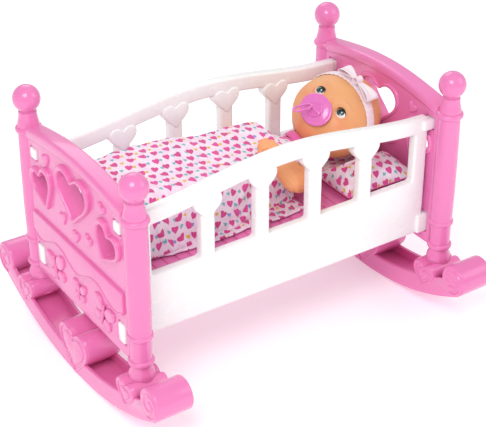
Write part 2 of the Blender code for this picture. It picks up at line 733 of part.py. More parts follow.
def make_pacifier(neck):
    """Shield, teat, knob and swinging ring, on the mouth's own axis (local Z)."""
    mouth = MOUTH + Vector((0, NECK_LENGTH, 0))
    seat = empty("pacifier_seat", mouth, (MOUTH_TILT, 0, 0), neck)
    rows = ((0, 7.6), (8, 7.4), (15, 6.6), (19, 5.4), (20, 4.6), (19.6, 3.9), (15, 4.6), (8, 5.3),
            (0, 5.5))
    bm = oval_disc([(r * MM, h * MM) for r, h in rows], SHIELD_OVAL)
    shield = add("pacifier_shield", to_mesh(bm, "pacifier_shield"), (0, 0, 0), seat)
    finish(shield, PINK, 0.12)
    rows = ((0, 5.1), (3.4, 5.1), (3.4, -2), (5.2, -6), (5.5, -10), (4, -13.4), (0, -14.4))
    teat = turned("pacifier_teat", [(r * MM, h * MM) for r, h in rows], (0, 0, 0), seat, steps=16)
    finish(teat, (0.9, 0.75, 0.6), 0.2)
    rows = ((0, 13.4), (5, 13), (8, 11), (9, 8.2), (9, 8.0), (0, 8.0))
    knob = turned("pacifier_knob", [(r * MM, h * MM) for r, h in rows], (0, 0, 0), seat, steps=20)
    groove = boxes("knob_groove", [((-12 * MM, 12 * MM), (-KNOB_GROOVE, KNOB_GROOVE), (9.2 * MM, 16 * MM))],
                   (0, 0, 0), seat)
    combine(knob, groove, "DIFFERENCE")
    finish(knob, PINK, 0.12)
    hinge = empty("pacifier_ring_hinge", (0, 0, 11.3 * MM), (RING_TILT, 0, 0), seat)
    make_ring("pacifier_ring", hinge)
    rows = ((9, -5.8), (9, -22), (2.3, -22), (2.3, -19.6), (6.5, -19.6), (6.5, -5.8))
    socket = turned("mouth_socket", [(r * MM, h * MM) for r, h in rows], (0, 0, 0), seat, steps=16,
                    closed=True)
    finish(socket, WHITE, 0.4)
    rows = ((0, -14.9), (5.6, -14.9), (5.6, -16.6), (2, -16.6), (2, -25), (0, -25))
    plunger = turned("mouth_plunger", [(r * MM, h * MM) for r, h in rows], (0, 0, 0), seat, steps=16)
    finish(plunger, DARK, 0.4)


def make_ring(name, hinge):
    """A long loop that stands up from the hinge, with its lowest point on the hinge's axis."""
    bm = bmesh.new()
    around, sides = 20, 6
    grid = []
    for index in range(around):
        angle = 2 * math.pi * index / around
        across, up = math.sin(angle), -math.cos(angle)
        outward = Vector((across * RING_HALF_HEIGHT, 0, up * RING_HALF_WIDTH)).normalized()
        middle = Vector((across * RING_HALF_WIDTH, 0, (1 + up) * RING_HALF_HEIGHT))
        loop = []
        for step in range(sides):
            turn = 2 * math.pi * step / sides
            offset = outward * math.cos(turn) + Vector((0, 1, 0)) * math.sin(turn)
            loop.append(bm.verts.new(middle + offset * RING_WIRE))
        grid.append(loop)
    for index in range(around):
        first, second = grid[index], grid[(index + 1) % around]
        for step in range(sides):
            other = (step + 1) % sides
            bm.faces.new((first[step], second[step], second[other], first[other]))
    bmesh.ops.recalc_face_normals(bm, faces=bm.faces)
    return finish(add(name, to_mesh(bm, name), (RING_X, 0, 0), hinge), PINK, 0.12, smooth=80)


# ---------------------------------------------------------------- doll's body

def half_shell(name, half, front, grow=0.0):
    """One half of the torso's shell, its wall inside the surface."""
    bm = rounded_block(half + Vector((grow, grow, grow)), TORSO_SQUARENESS, 20, 10, "Z")
    back = -(TORSO_BACK + grow)
    split = 0.6 * MM
    for vert in bm.verts:
        vert.co.z = max(vert.co.z, back)
        if abs(vert.co.z) < 0.01 * MM:
            vert.co.z = 0
    if front:
        doomed = [face for face in bm.faces if face.calc_center_median().z < 0]
    else:
        doomed = [face for face in bm.faces if face.calc_center_median().z > 0]
    bmesh.ops.delete(bm, geom=doomed, context="FACES")
    for vert in bm.verts:
        if vert.co.z == 0:
            vert.co.z = split if front else -split
    shell = add(name, to_mesh(bm, name), TORSO_CENTRE)
    return solidify(shell, SHELL, -1)


def neck_cutter(name, radius, neck, low=-30 * MM, high=10 * MM):
    """A bore along the neck's own axis."""
    return cylinders(name, [(radius, (0, low, 0), (0, high, 0))], (0, 0, 0), neck)


def make_torso(neck):
    front = half_shell("torso_front", TORSO_HALF, True)
    back = half_shell("torso_back", TORSO_HALF, False)
    shoulder = SHOULDER_X - TORSO_CENTRE.x
    bore = cylinders("shoulder_bore", [(7.6 * MM, (shoulder, -60 * MM, 0), (shoulder, 60 * MM, 0))],
                     TORSO_CENTRE)
    neck_bore = neck_cutter("neck_bore", NECK_RADIUS + GAP, neck)
    for shell in (front, back):
        combine(shell, bore, "DIFFERENCE")
        combine(shell, neck_bore, "DIFFERENCE")
    button_hole = cylinders("button_hole", [(BUTTON_RADIUS + 0.4 * MM, (BUTTON_X, 0, 10 * MM),
                                             (BUTTON_X, 0, 40 * MM))], TORSO_CENTRE)
    combine(front, button_hole, "DIFFERENCE")
    door_hole = boxes("door_hole", [
        ((-25.6 * MM, 30.1 * MM), (-16.6 * MM, 16.6 * MM), (-40 * MM, -20 * MM)),
        ((-41 * MM, -32 * MM), (-2 * MM, 2 * MM), (-40 * MM, -18 * MM))], TORSO_CENTRE)
    combine(back, door_hole, "DIFFERENCE")
    tongue = boxes("hip_tongue", [((-82 * MM, -53.2 * MM), (-3 * MM, 3 * MM), (-14.6 * MM, -1.1 * MM))],
                   TORSO_CENTRE)
    combine(back, tongue, "UNION")
    pin = HIP.z - TORSO_CENTRE.z
    pin_bore = cylinders("hip_bore", [(HIP_PIN_RADIUS + GAP, (HIP.x - TORSO_CENTRE.x, -10 * MM, pin),
                                       (HIP.x - TORSO_CENTRE.x, 10 * MM, pin))], TORSO_CENTRE)
    combine(back, pin_bore, "DIFFERENCE")
    finish(front, SKIN_TONE, 0.4)
    finish(back, SKIN_TONE, 0.4)
    hip = cylinders("hip_pin", [(HIP_PIN_RADIUS, (0, -24 * MM, 0), (0, 24 * MM, 0))],
                    (HIP.x, TORSO_CENTRE.y, HIP.z), segments=16)
    finish(hip, STEEL, 0.3, 1.0)


def make_neck_plug(neck):
    """Holds the head on the torso: a flange inside each of them and a shaft between."""
    rows = ((0, 12), (19, 12), (19, 9.4), (13, 9.4), (13, -18), (0, -18))
    plug = turned("neck_plug", [(r * MM, h * MM) for r, h in rows], (0, 0, 0), neck,
                  (-math.pi / 2, 0, 0), steps=20)
    return finish(plug, SKIN_TONE, 0.4)


def make_electronics():
    (x0, x1), (y0, y1), (z0, z1) = BATTERY_BOX
    wall = 1.4 * MM
    case = boxes("battery_box", [BATTERY_BOX], TORSO_CENTRE)
    cell_x = x0 + wall + 0.4 * MM + CELL_LENGTH / 2
    cavity = boxes("battery_cavity", [((x0 + wall, cell_x + CELL_LENGTH / 2 + 0.4 * MM),
                                       (y0 + wall, y1 - wall), (z0 - 5 * MM, z1 - wall))],
                   TORSO_CENTRE)
    combine(case, cavity, "DIFFERENCE")
    screw_bore = cylinders("door_screw_bore", [(1.3 * MM, (DOOR_SCREW_X, 0, z0 - 3 * MM),
                                                (DOOR_SCREW_X, 0, z1 - 3 * MM))],
                           TORSO_CENTRE, segments=12)
    combine(case, screw_bore, "DIFFERENCE")
    finish(case, WHITE, 0.5)
    for index in range(3):
        y = (index - 1) * CELL_PITCH
        z = z1 - wall - CELL_RADIUS - GAP
        rows = ((0, 22.25), (1.9, 22.25), (1.9, 21.2), (5.25, 21.2), (5.25, -22.25), (0, -22.25))
        flip = 1 if index != 1 else -1
        cell = turned(f"battery_{index + 1}", [(r * MM, h * MM) for r, h in rows],
                      TORSO_CENTRE + Vector((cell_x, y, z)), rotation=(0, flip * math.pi / 2, 0),
                      steps=12)
        finish(cell, GREEN, 0.3, 0.3)
    door = boxes("battery_door", [((-25 * MM, 29.5 * MM), (-16 * MM, 16 * MM),
                                   (-TORSO_BACK, -TORSO_BACK + 1.7 * MM))], TORSO_CENTRE)
    door_hole = cylinders("door_screw_hole", [(3.1 * MM, (DOOR_SCREW_X, 0, -40 * MM),
                                               (DOOR_SCREW_X, 0, -20 * MM))],
                          TORSO_CENTRE, segments=16)
    combine(door, door_hole, "DIFFERENCE")
    finish(door, SKIN_TONE, 0.4)
    rows = ((0, 9), (1, 9), (1, 0), (2.6, 0), (2.6, -1.7), (0, -1.7))
    screw = turned("battery_door_screw", [(r * MM, h * MM) for r, h in rows],
                   TORSO_CENTRE + Vector((DOOR_SCREW_X, 0, z0 - GAP)), steps=12)
    finish(screw, STEEL, 0.35, 1.0)
    board = boxes("circuit_board", [((-28 * MM, 26 * MM), (-17 * MM, 17 * MM),
                                     (-8.2 * MM, -6.6 * MM))], TORSO_CENTRE)
    finish(board, GREEN, 0.5)
    rows = ((0, 4), (7, 4), (12.5, 6.5), (15, 6.5), (15, 4), (9, -1), (9, -5), (0, -5))
    speaker = turned("speaker", [(r * MM, h * MM) for r, h in rows],
                     TORSO_CENTRE + Vector((-18 * MM, 0, 13 * MM)), steps=16)
    finish(speaker, DARK, 0.6)
    slider = boxes("power_switch", [((-40.6 * MM, -36.6 * MM), (-1.6 * MM, 1.6 * MM),
                                     (-25 * MM, -19.5 * MM))], TORSO_CENTRE)
    finish(slider, DARK, 0.4)
    rows = ((0, 27.4), (6.5, 27.4), (8.6, 26.6), (9, 25), (9, 17), (0, 17))
    button = turned("belly_button", [(r * MM, h * MM) for r, h in rows],
                    TORSO_CENTRE + Vector((BUTTON_X, 0, 0)), steps=16)
    finish(button, DEEP_PINK, 0.35)


def make_arm(name, side, shoulder, controls):
    arm = limb(name, controls, (0, 0, 0), shoulder)
    inner = -side * (SHOULDER_OFFSET_Y - 30 * MM)
    peg = cylinders(name + "_peg", [(7 * MM, (0, 0, 0), (0, inner, 0))], (0, 0, 0), shoulder,
                    segments=16)
    combine(arm, peg, "UNION")
    return finish(arm, SKIN_TONE, 0.45)


def make_arms():
    """Controls run from the shoulder to the fingertips, from the shoulder's own pivot."""
    near = ((9, 0, -2, 6), (6, 0, -1, 11), (0, -1, 1, 14.5), (-18, -10, 10, 16.5),
            (-33, -17, 19, 17), (-42, -14, 32, 15), (-46, -5, 43, 11.5), (-48, 5, 50, 10),
            (-49, 15, 53, 10.5), (-53, 24, 53, 8.5), (-57, 29, 52, 4))
    far = ((9, 0, 0, 6), (6, 0, 0, 11), (0, 1, 0, 14.5), (-22, 9.5, 2, 15.5), (-40, 11, 0, 14.5),
           (-58, 12, -1, 12.5), (-72, 12, -1, 10.5), (-82, 12, -1, 10.5), (-92, 11, -1, 8.5),
           (-98, 11, -1, 4))
    for name, side, route in (("left", -1, near), ("right", 1, far)):
        place = (SHOULDER_X, TORSO_CENTRE.y + side * SHOULDER_OFFSET_Y, TORSO_CENTRE.z)
        shoulder = empty(f"shoulder_{name}", place)
        controls = [tuple(value * MM for value in row) for row in route]
        make_arm(f"arm_{name}", side, shoulder, controls)


def make_legs():
    route = ((15, 0, 0, 7), (12, 0, 0, 13), (0, 0, 0, 17), (-22, 0, -2, 17), (-48, 0, -3.5, 15.5),
             (-72, 0, -4.5, 14), (-94, 0, -6, 12.5), (-110, 0, -5, 13), (-116, 0, 8, 12),
             (-118, 0, 20, 10.5), (-118, 0, 28, 5))
    for name, side in (("left", -1), ("right", 1)):
        place = Vector((HIP.x, TORSO_CENTRE.y + side * HIP.y, HIP.z))
        hip = empty(f"hip_{name}", place)
        leg = limb(f"leg_{name}", [tuple(v * MM for v in row) for row in route], (0, 0, 0), hip)
        bore = cylinders(f"leg_bore_{name}", [(HIP_PIN_RADIUS + GAP, (0, side * 4.5 * MM, 0),
                                               (0, -side * 30 * MM, 0))],
                         (0, 0, 0), hip, segments=16)
        combine(leg, bore, "DIFFERENCE")
        finish(leg, SKIN_TONE, 0.45)


def make_dress(neck):
    """A sleeveless dress over the torso, open at the neck, arms and hem."""
    half = TORSO_HALF + Vector((1, 1, 1)) * 1.6 * MM
    bm = rounded_block(half, TORSO_SQUARENESS, 14, 10, "X")
    for vert in bm.verts:
        vert.co.z = max(vert.co.z, -(TORSO_BACK + 0.8 * MM))
    hem = [face for face in bm.faces if face.calc_center_median().x < -50 * MM]
    bmesh.ops.delete(bm, geom=hem, context="FACES")
    dress = add("dress", to_mesh(bm, "dress"), TORSO_CENTRE)
    solidify(dress, 1.2 * MM, 1)
    shoulder = SHOULDER_X - TORSO_CENTRE.x
    armholes = cylinders("armholes", [(15.5 * MM, (shoulder, -60 * MM, 0), (shoulder, 60 * MM, 0))],
                         TORSO_CENTRE)
    combine(dress, armholes, "DIFFERENCE")
    combine(dress, neck_cutter("neckline", 19 * MM, neck), "DIFFERENCE")
    return finish(dress, FABRIC, 0.85)


def make_doll():
    rotation = head_rotation()
    up = rotation.to_matrix() @ Vector((0, 1, 0))
    neck = empty("neck_pivot", HEAD_CENTRE - up * NECK_LENGTH, rotation)
    make_head(neck)
    make_headband(neck)
    make_pacifier(neck)
    bpy.context.view_layer.update()
    make_torso(neck)
    make_neck_plug(neck)
    make_electronics()
    make_arms()
    make_legs()
    make_dress(neck)


# ---------------------------------------------------------------- bedding

def share(value, low, high):
    """How far a value has got from one limit to the other, from 0 to 1."""
    return max(0.0, min(1.0, (value - low) / (high - low)))


def blanket_height(x, y):
    """Height of the blanket's underside: a soft hump over the doll, flat on the bed beside it."""
    bed = BED_TOP_Z + 0.6 * MM
    along = (x - BLANKET_X[0]) / (BLANKET_X[1] - BLANKET_X[0])
    rise = CROWN_FAR_RISE * along * (1 - along) * share(y, *FAR_SIDE_Y)
    crown = CROWN_Z - CROWN_DROP * along ** 2 + rise
    crown = bed + (crown - bed) * math.sin(share(x, *TOES_X) * math.pi / 2)
    past_hand = PAST_HAND_X[0] if y < TORSO_CENTRE.y else PAST_HAND_X[1]
    loose = share(past_hand - x, 0, LOOSENING)
    flat = HUMP_FLAT[0] + (HUMP_FLAT[1] - HUMP_FLAT[0]) * loose
    foot = HUMP_FOOT[0] + (HUMP_FOOT[1] - HUMP_FOOT[0]) * loose
    fall = share(abs(y - TORSO_CENTRE.y), flat, foot)
    return bed + (crown - bed) * (1 + math.cos(math.pi * fall)) / 2


def make_blanket():
    bm = bmesh.new()
    bmesh.ops.create_grid(bm, x_segments=12, y_segments=22, size=0.5)
    for vert in bm.verts:
        x = BLANKET_X[0] + (vert.co.x + 0.5) * (BLANKET_X[1] - BLANKET_X[0])
        y = BLANKET_Y[0] + (vert.co.y + 0.5) * (BLANKET_Y[1] - BLANKET_Y[0])
        vert.co = (x, y, blanket_height(x, y))
    blanket = add("blanket", to_mesh(bm, "blanket"))
    solidify(blanket, BLANKET_THICKNESS, 1)
    return finish(blanket, FABRIC, 0.9, smooth=60)


def make_pillow():
    """A cushion pressed down into a trough by the head."""
    bm = rounded_block(PILLOW_HALF, 0.62, 20, 12, "Z")
    bm.transform(Matrix.Translation(PILLOW_CENTRE))
    for vert in bm.verts:
        vert.co.z = max(vert.co.z, BED_TOP_Z + GAP)
    pillow = add("pillow", to_mesh(bm, "pillow"))
    dent = cylinders("pillow_dent", [(PILLOW_DENT_RADIUS, (-70 * MM, 0, 0), (70 * MM, 0, 0))],
                     HEAD_CENTRE, segments=32)
    combine(pillow, dent, "DIFFERENCE")
    return finish(pillow, FABRIC, 0.9, smooth=60)


def main():
    global model, cutters
    model, cutters = start_scene()
    make_cradle()
    make_doll()
    make_blanket()
    make_pillow()


main()
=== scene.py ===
"""Looks of the baby doll and its rocking cradle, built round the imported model.

Units are metres, +Z is up and +X runs from the cradle's foot end to its head end.
"""
import math

import bmesh
import bpy
from mathutils import Euler, Matrix, Vector, noise


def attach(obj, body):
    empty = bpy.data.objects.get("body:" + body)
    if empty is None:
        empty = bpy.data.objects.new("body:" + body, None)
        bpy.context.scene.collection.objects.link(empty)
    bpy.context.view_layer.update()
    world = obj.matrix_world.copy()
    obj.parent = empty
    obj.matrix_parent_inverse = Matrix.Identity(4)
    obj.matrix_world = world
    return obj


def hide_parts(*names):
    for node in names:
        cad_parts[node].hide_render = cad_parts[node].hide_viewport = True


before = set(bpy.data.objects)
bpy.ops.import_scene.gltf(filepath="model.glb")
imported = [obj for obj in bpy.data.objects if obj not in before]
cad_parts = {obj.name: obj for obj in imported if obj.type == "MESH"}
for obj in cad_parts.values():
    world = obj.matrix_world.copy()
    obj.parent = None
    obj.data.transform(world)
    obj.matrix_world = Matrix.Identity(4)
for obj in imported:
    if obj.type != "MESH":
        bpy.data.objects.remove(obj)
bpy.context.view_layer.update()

MM = 0.001
PRINT_PITCH = (17 * MM, 13.5 * MM)

# Camera
CAMERA_PLACE = Vector((-0.84298, -1.26512, 1.06992))
CAMERA_AZIMUTH = math.radians(-33.75)
CAMERA_DROP = math.radians(31.354)
CAMERA_LENS = 106.2

# Cradle
END_X = 219 * MM
POST_Y = 125 * MM
POST_FOOT_Z = 68 * MM
POST_HEIGHT = 229 * MM
POST_RADIUS = 13.5 * MM
FINIAL_RADIUS = 16.8 * MM
PANEL_HALF = 8.5 * MM
PANEL_HALF_WIDTH = 114 * MM
PANEL_BOTTOM_Z = 84.5 * MM
ARCH_END_Z = 281 * MM
ARCH_RISE = 14 * MM
ARCH_SPAN = 232 * MM
HEARTS = (  # centre y, centre z, width, height, tilt in degrees
    (0 * MM, 240.5 * MM, 69 * MM, 53 * MM, 0),
    (76 * MM, 218 * MM, 44 * MM, 40 * MM, 22),
    (-76 * MM, 218 * MM, 44 * MM, 40 * MM, -22),
)
SMALL_HEARTS = ((0, 189), (30, 199), (-30, 199), (66, 259), (-66, 259))
VALANCE_Z = 145.5 * MM
VALANCE_WAVE = 7.5 * MM
VALANCE_PITCH = 89 * MM
VALANCE_HALF = 109 * MM
TAB_Y = (92 * MM, 106 * MM)
TAB_HEIGHTS = ((100 * MM, 126 * MM), (246 * MM, 260 * MM))
ROCKER_RADIUS = 380 * MM
ROCKER_DEPTH = 25 * MM
ROCKER_HALF_WIDTH = 23 * MM
ROCKER_ARC_Y = 190 * MM
SCROLL_RADIUS = 20.5 * MM
RAIL_Y = 95.5 * MM
RAIL_HALF = 6.5 * MM
RAIL_HALF_LENGTH = 207 * MM
RAIL_BOTTOM_Z = 99 * MM
RAIL_PANEL_TOP_Z = 176.5 * MM
RAIL_END_Z = 263 * MM
RAIL_WAVE = 21 * MM
RAIL_BAR = 21 * MM
RAIL_OPENINGS = ((-187, -122), (-103, -47), (-28, 28), (47, 103), (122, 187))
BALUSTER_X = (-112.5 * MM, -37.5 * MM, 37.5 * MM, 112.5 * MM)
HEART_SOFTENING = 7
BED_TOP_Z = 166 * MM
BED_HALF_LENGTH = 209.5 * MM
BED_HALF_WIDTH = 88.2 * MM
SLAT_PITCH = 16 * MM

# Doll
HEAD_CENTRE = Vector((149.6 * MM, 8 * MM, 234.8 * MM))
HEAD_HALF = Vector((54 * MM, 57.5 * MM, 49 * MM))
HEAD_WALL = 2.6 * MM
HEAD_TURN = math.radians(27.5)
HEAD_PITCH = math.radians(23)
HEAD_ROLL = math.radians(7)
EYE = Vector((20.3 * MM, -7.8 * MM, 36.5 * MM))
EYE_RADIUS = 9 * MM
EYE_OVAL = (6.4, 5.7)
MOUTH = Vector((0, -27.4 * MM, 42.1 * MM))
MOUTH_TILT = math.radians(20)
MOUTH_HOLE_RADIUS = 6.2 * MM
SHIELD_OVAL = (1.12, 0.97, 1.0, 1.0)
SHIELD_SHIFT = Vector((-1.8 * MM, 0, 0))
RING_TILT = math.radians(36)
RING_X = -6 * MM
RING_HALF_WIDTH = 3.5 * MM
RING_HALF_HEIGHT = 15.5 * MM
RING_WIRE = 1.5 * MM
BAND_OFFSET = 2.5 * MM
BAND_TILT = math.radians(36)
BAND_WIDTH = 13 * MM
BOW_PLACE = Vector((-1.5 * MM, 33.5 * MM, 42.1 * MM))
BOW_TILT = math.radians(30)
BOW_LENGTHS = {"left": 27.5 * MM, "right": 22 * MM}
FACE_BUMPS = (  # height, centre and reach in millimetres, the same on both sides of the face
    (4.2, (30, -25, 29), (15, 15, 22)),  # cheeks
    (6.2, (0, -48, 25), (17, 11, 20)),  # chin
    (-1.0, (0, -42, 34), (14, 3.2, 14)),  # fold above the chin
    (4.4, (0, -9.5, 48), (4.4, 4.2, 30)),  # nose
    (1.7, (4.2, -11, 47), (2.2, 2.4, 30)),  # sides of the nose
    (1.2, (0, 1, 48), (5, 8, 30)),  # bridge of the nose
    (-1.3, (19, -5, 44), (9, 8, 30)),  # hollows round the eyes
    (0.9, (20, 6, 44), (10, 3.5, 30)),  # brows
)
FACE_BLUSH = (  # strength, centre and reach
    (0.75, (32, -20, 34), (11, 10, 30)),  # cheeks
    (0.5, (0, -9.5, 52), (5, 4, 20)),  # nose
    (0.4, (0, -50, 24), (10, 6, 20)),  # chin
)
NECK_LENGTH = 58 * MM
TORSO_SQUARENESS = 0.6
ARMHOLE = 15.5 * MM
NECKLINE = 13.8 * MM
COLLAR_RADIUS = 2.9 * MM
STAND_RADIUS = 15.9 * MM
STAND_THICKNESS = 2.3 * MM
STAND_STRETCH = 2.4
STAND_DROP = -6 * MM
TORSO_BACK = 26.5 * MM
TORSO_CENTRE = Vector((28 * MM, 6 * MM, 195.6 * MM))
TORSO_HALF = Vector((56 * MM, 37 * MM, 28 * MM))
SHOULDER_X = 66 * MM
SHOULDER_OFFSET_Y = 54 * MM
HIP = Vector((-46 * MM, 21 * MM, 190 * MM))
SKIN_VOXEL = 0.65 * MM
SKIN_SOFTENING = 5

# Bedding
BLANKET_X = (-196 * MM, 50 * MM)
BLANKET_Y = (-72 * MM, 78.5 * MM)
BLANKET_THICKNESS = 2.5 * MM
CROWN_Z = 241 * MM
CROWN_DROP = 13 * MM
CROWN_FAR_RISE = 20 * MM
FAR_SIDE_Y = (-5 * MM, 25 * MM)
TOES_X = (-190 * MM, -172 * MM)
HUMP_FLAT = (39.5 * MM, 50.5 * MM)
HUMP_FOOT = (46 * MM, 64 * MM)
PAST_HAND_X = (-8 * MM, -38 * MM)
LOOSENING = 50 * MM
CHEST_FOLD = 6 * MM
PILLOW_CENTRE = Vector((152 * MM, 0, 183.5 * MM))
PILLOW_HALF = Vector((52 * MM, 86 * MM, 16.5 * MM))
PILLOW_SEAM_Z = 172.5 * MM
PILLOW_DENT = 62 * MM
PILLOW_POINT = 3 * MM
BLANKET_FRAMES = 22
PILLOW_FRAMES = 14


# ---------------------------------------------------------------- mesh helpers

def link(name, data, matrix=None):
    """A new object from a mesh, a curve, a light or a camera."""
    made = bpy.data.objects.new(name, data)
    bpy.context.scene.collection.objects.link(made)
    if matrix is not None:
        data.transform(matrix)
    return made


def to_mesh(bm, name):
    mesh = bpy.data.meshes.new(name)
    bm.to_mesh(mesh)
    bm.free()
    return mesh


def evaluated(piece):
    """The mesh that the viewport shows, with the modifiers applied."""
    bpy.context.view_layer.update()
    graph = bpy.context.evaluated_depsgraph_get()
    return bpy.data.meshes.new_from_object(piece.evaluated_get(graph))


def modify(piece, kind, **settings):
    """Add a modifier to a piece, with its settings."""
    made = piece.modifiers.new(kind.lower(), kind)
    for name, value in settings.items():
        setattr(made, name, value)
    return made


def bake(piece):
    """Apply every modifier on a mesh piece."""
    mesh = evaluated(piece)
    piece.modifiers.clear()
    piece.data = mesh
    return piece


def point_values(mesh, name, values):
    """Store one number for each point, for the materials to read."""
    mesh.attributes.new(name, "FLOAT", "POINT").data.foreach_set("value", values)


def smooth(piece, angle=35):
    piece.data.shade_smooth()
    if angle:
        piece.data.set_sharp_from_angle(angle=math.radians(angle))
    return piece


def merged(name, parts):
    """One mesh piece from several."""
    bm = bmesh.new()
    for part in parts:
        bm.from_mesh(part.data)
        bpy.data.objects.remove(part)
    return link(name, to_mesh(bm, name))


def fused(name, parts):
    """One piece from several overlapping closed pieces, with their insides removed."""
    whole = parts[0]
    for part in parts[1:]:
        modify(whole, "BOOLEAN", operation="UNION", solver="MANIFOLD", object=part)
    bake(whole)
    for part in parts[1:]:
        bpy.data.objects.remove(part)
    whole.name = name
    return whole


def cut_away(piece, cutters):
    """Take closed cutters out of a piece, and remove them."""
    for cutter in cutters:
        modify(piece, "BOOLEAN", operation="DIFFERENCE", solver="MANIFOLD", object=cutter)
    bake(piece)
    for cutter in cutters:
        bpy.data.objects.remove(cutter)


AXES = {
    "X": Matrix(((0, 0, 1, 0), (1, 0, 0, 0), (0, 1, 0, 0), (0, 0, 0, 1))),
    "Y": Matrix(((1, 0, 0, 0), (0, 0, -1, 0), (0, 1, 0, 0), (0, 0, 0, 1))),
    "Z": Matrix.Identity(4),
}


def inward(loop, hole):
    """For each point of a flat outline, the mitred direction that leads into the material."""
    area = sum(a[0] * b[1] - b[0] * a[1] for a, b in zip(loop, loop[1:] + loop[:1]))
    sign = 1 if (area > 0) != hole else -1
    ways = []
    for index in range(len(loop)):
        before, here, after = (Vector(loop[(index + step) % len(loop)]) for step in (-1, 0, 1))
        first, second = (here - before).normalized(), (after - here).normalized()
        along = (first + second).normalized() if (first + second).length > 1e-6 else first
        stretch = 1 / max(0.45, first.dot(along))
        ways.append(Vector((-along.y, along.x)) * sign * stretch)
    return ways


def plate(name, loops, half, rounding=0.0, centre=0.0, axis="X", steps=3):
    """A flat outline with holes, thickened about a centre plane, with rounded edges.

    A loop is a list of points, or a function from how far it grows to its points.
    """
    bm = bmesh.new()
    angles = [math.pi / 2 * index / steps for index in range(steps + 1)] if rounding else [0]
    rings = [(rounding * (1 - math.cos(a)), half - rounding + rounding * math.sin(a)) for a in angles]
    rings = [(inset, -level) for inset, level in reversed(rings)] + rings
    caps = {0: [], len(rings) - 1: []}
    for number, loop in enumerate(loops):
        ways = [] if callable(loop) else inward(loop, number > 0)
        rows = []
        for inset, level in rings:
            if callable(loop):
                places = [Vector(point) for point in loop(inset if number else -inset)]
            else:
                places = [Vector(point) + way * inset for point, way in zip(loop, ways)]
            rows.append([bm.verts.new((place.x, place.y, level)) for place in places])
        for first, second in zip(rows, rows[1:]):
            for index in range(len(first)):
                after = (index + 1) % len(first)
                bm.faces.new((first[index], first[after], second[after], second[index]))
        for end in caps:
            caps[end].append(rows[end])
    for rows in caps.values():
        if len(rows) == 1:
            bm.faces.new(rows[0])
        elif len(rows) == 2 and len(rows[0]) == len(rows[1]):
            for index in range(len(rows[0])):
                after = (index + 1) % len(rows[0])
                bm.faces.new((rows[0][index], rows[0][after], rows[1][after], rows[1][index]))
        else:
            edges = [bm.edges.get((first, second)) for row in rows
                     for first, second in zip(row, row[1:] + row[:1])]
            bmesh.ops.triangle_fill(bm, edges=edges, use_beauty=True)
    direction = Vector([float(axis == letter) for letter in AXES])
    bm.transform(Matrix.Translation(direction * centre) @ AXES[axis])
    bmesh.ops.recalc_face_normals(bm, faces=bm.faces)
    if bm.calc_volume(signed=True) < 0:
        bmesh.ops.reverse_faces(bm, faces=bm.faces)
    return link(name, to_mesh(bm, name))


def turned(name, profile, place=(0, 0, 0), steps=56):
    """Turn (radius, height) points, listed from the top down, about Z."""
    bm = bmesh.new()
    points = [bm.verts.new((radius, 0, height)) for radius, height in profile]
    for first, second in zip(points, points[1:]):
        bm.edges.new((first, second))
    piece = link(name, to_mesh(bm, name))
    modify(piece, "SCREW", steps=steps, render_steps=steps, use_merge_vertices=True,
           merge_threshold=1e-5)
    bake(piece)
    piece.data.transform(Matrix.Translation(place))
    return piece


def block(name, x, y, z, rounding=0.0, steps=2):
    """A box between pairs of limits, with rounded edges."""
    size = Vector((x[1] - x[0], y[1] - y[0], z[1] - z[0]))
    middle = Vector((x[0] + x[1], y[0] + y[1], z[0] + z[1])) / 2
    bm = bmesh.new()
    bmesh.ops.create_cube(bm, size=1, matrix=Matrix.Translation(middle) @ Matrix.Diagonal((*size, 1)))
    if rounding:
        bmesh.ops.bevel(bm, geom=bm.edges[:], offset=rounding, segments=steps, profile=0.5,
                        affect="EDGES")
    return link(name, to_mesh(bm, name))


def tube(name, points, radius, sides=10, closed=False):
    """A round tube along points; radius is one number or one for each point."""
    radii = radius if hasattr(radius, "__len__") else [radius] * len(points)
    curve = bpy.data.curves.new(name, "CURVE")
    curve.dimensions = "3D"
    curve.bevel_depth = 1.0
    curve.bevel_resolution = max(0, sides // 2 - 2)
    curve.use_fill_caps = not closed
    spline = curve.splines.new("POLY")
    spline.points.add(len(points) - 1)
    for point, place, value in zip(spline.points, points, radii):
        point.co = (*place, 1)
        point.radius = value
    spline.use_cyclic_u = closed
    path = link(name, curve)
    mesh = evaluated(path)
    bpy.data.objects.remove(path)
    bm = bmesh.new()
    bm.from_mesh(mesh)
    bmesh.ops.remove_doubles(bm, verts=bm.verts, dist=1e-6)
    bmesh.ops.recalc_face_normals(bm, faces=bm.faces)
    return link(name, to_mesh(bm, name))


def heart_curve(angle):
    return Vector((math.sin(angle) ** 3 / 2,
                   (13 * math.cos(angle) - 5 * math.cos(2 * angle)
                    - 2 * math.cos(3 * angle) - math.cos(4 * angle)) / 29 + 0.087))


def even_hearts(count=56, fine=1440):
    """Points of a heart one unit across, evenly spaced from its notch."""
    points = [heart_curve(2 * math.pi * index / fine) for index in range(fine + 1)]
    walked, travelled = [0.0], 0.0
    for first, second in zip(points, points[1:]):
        travelled += (second - first).length
        walked.append(travelled)
    made, place = [], 0
    for index in range(count):
        while walked[place] < travelled * index / count - 1e-9:
            place += 1
        made.append(points[place].copy())
    for _ in range(HEART_SOFTENING):
        made = [(made[index - 1] + 2 * spot + made[(index + 1) % count]) / 4
                for index, spot in enumerate(made)]
    width = max(spot.x for spot in made) - min(spot.x for spot in made)
    top, bottom = max(spot.y for spot in made), min(spot.y for spot in made)
    return [Vector((spot.x / width, (spot.y - (top + bottom) / 2) / (top - bottom))) for spot in made]


UNIT_HEART = even_hearts()


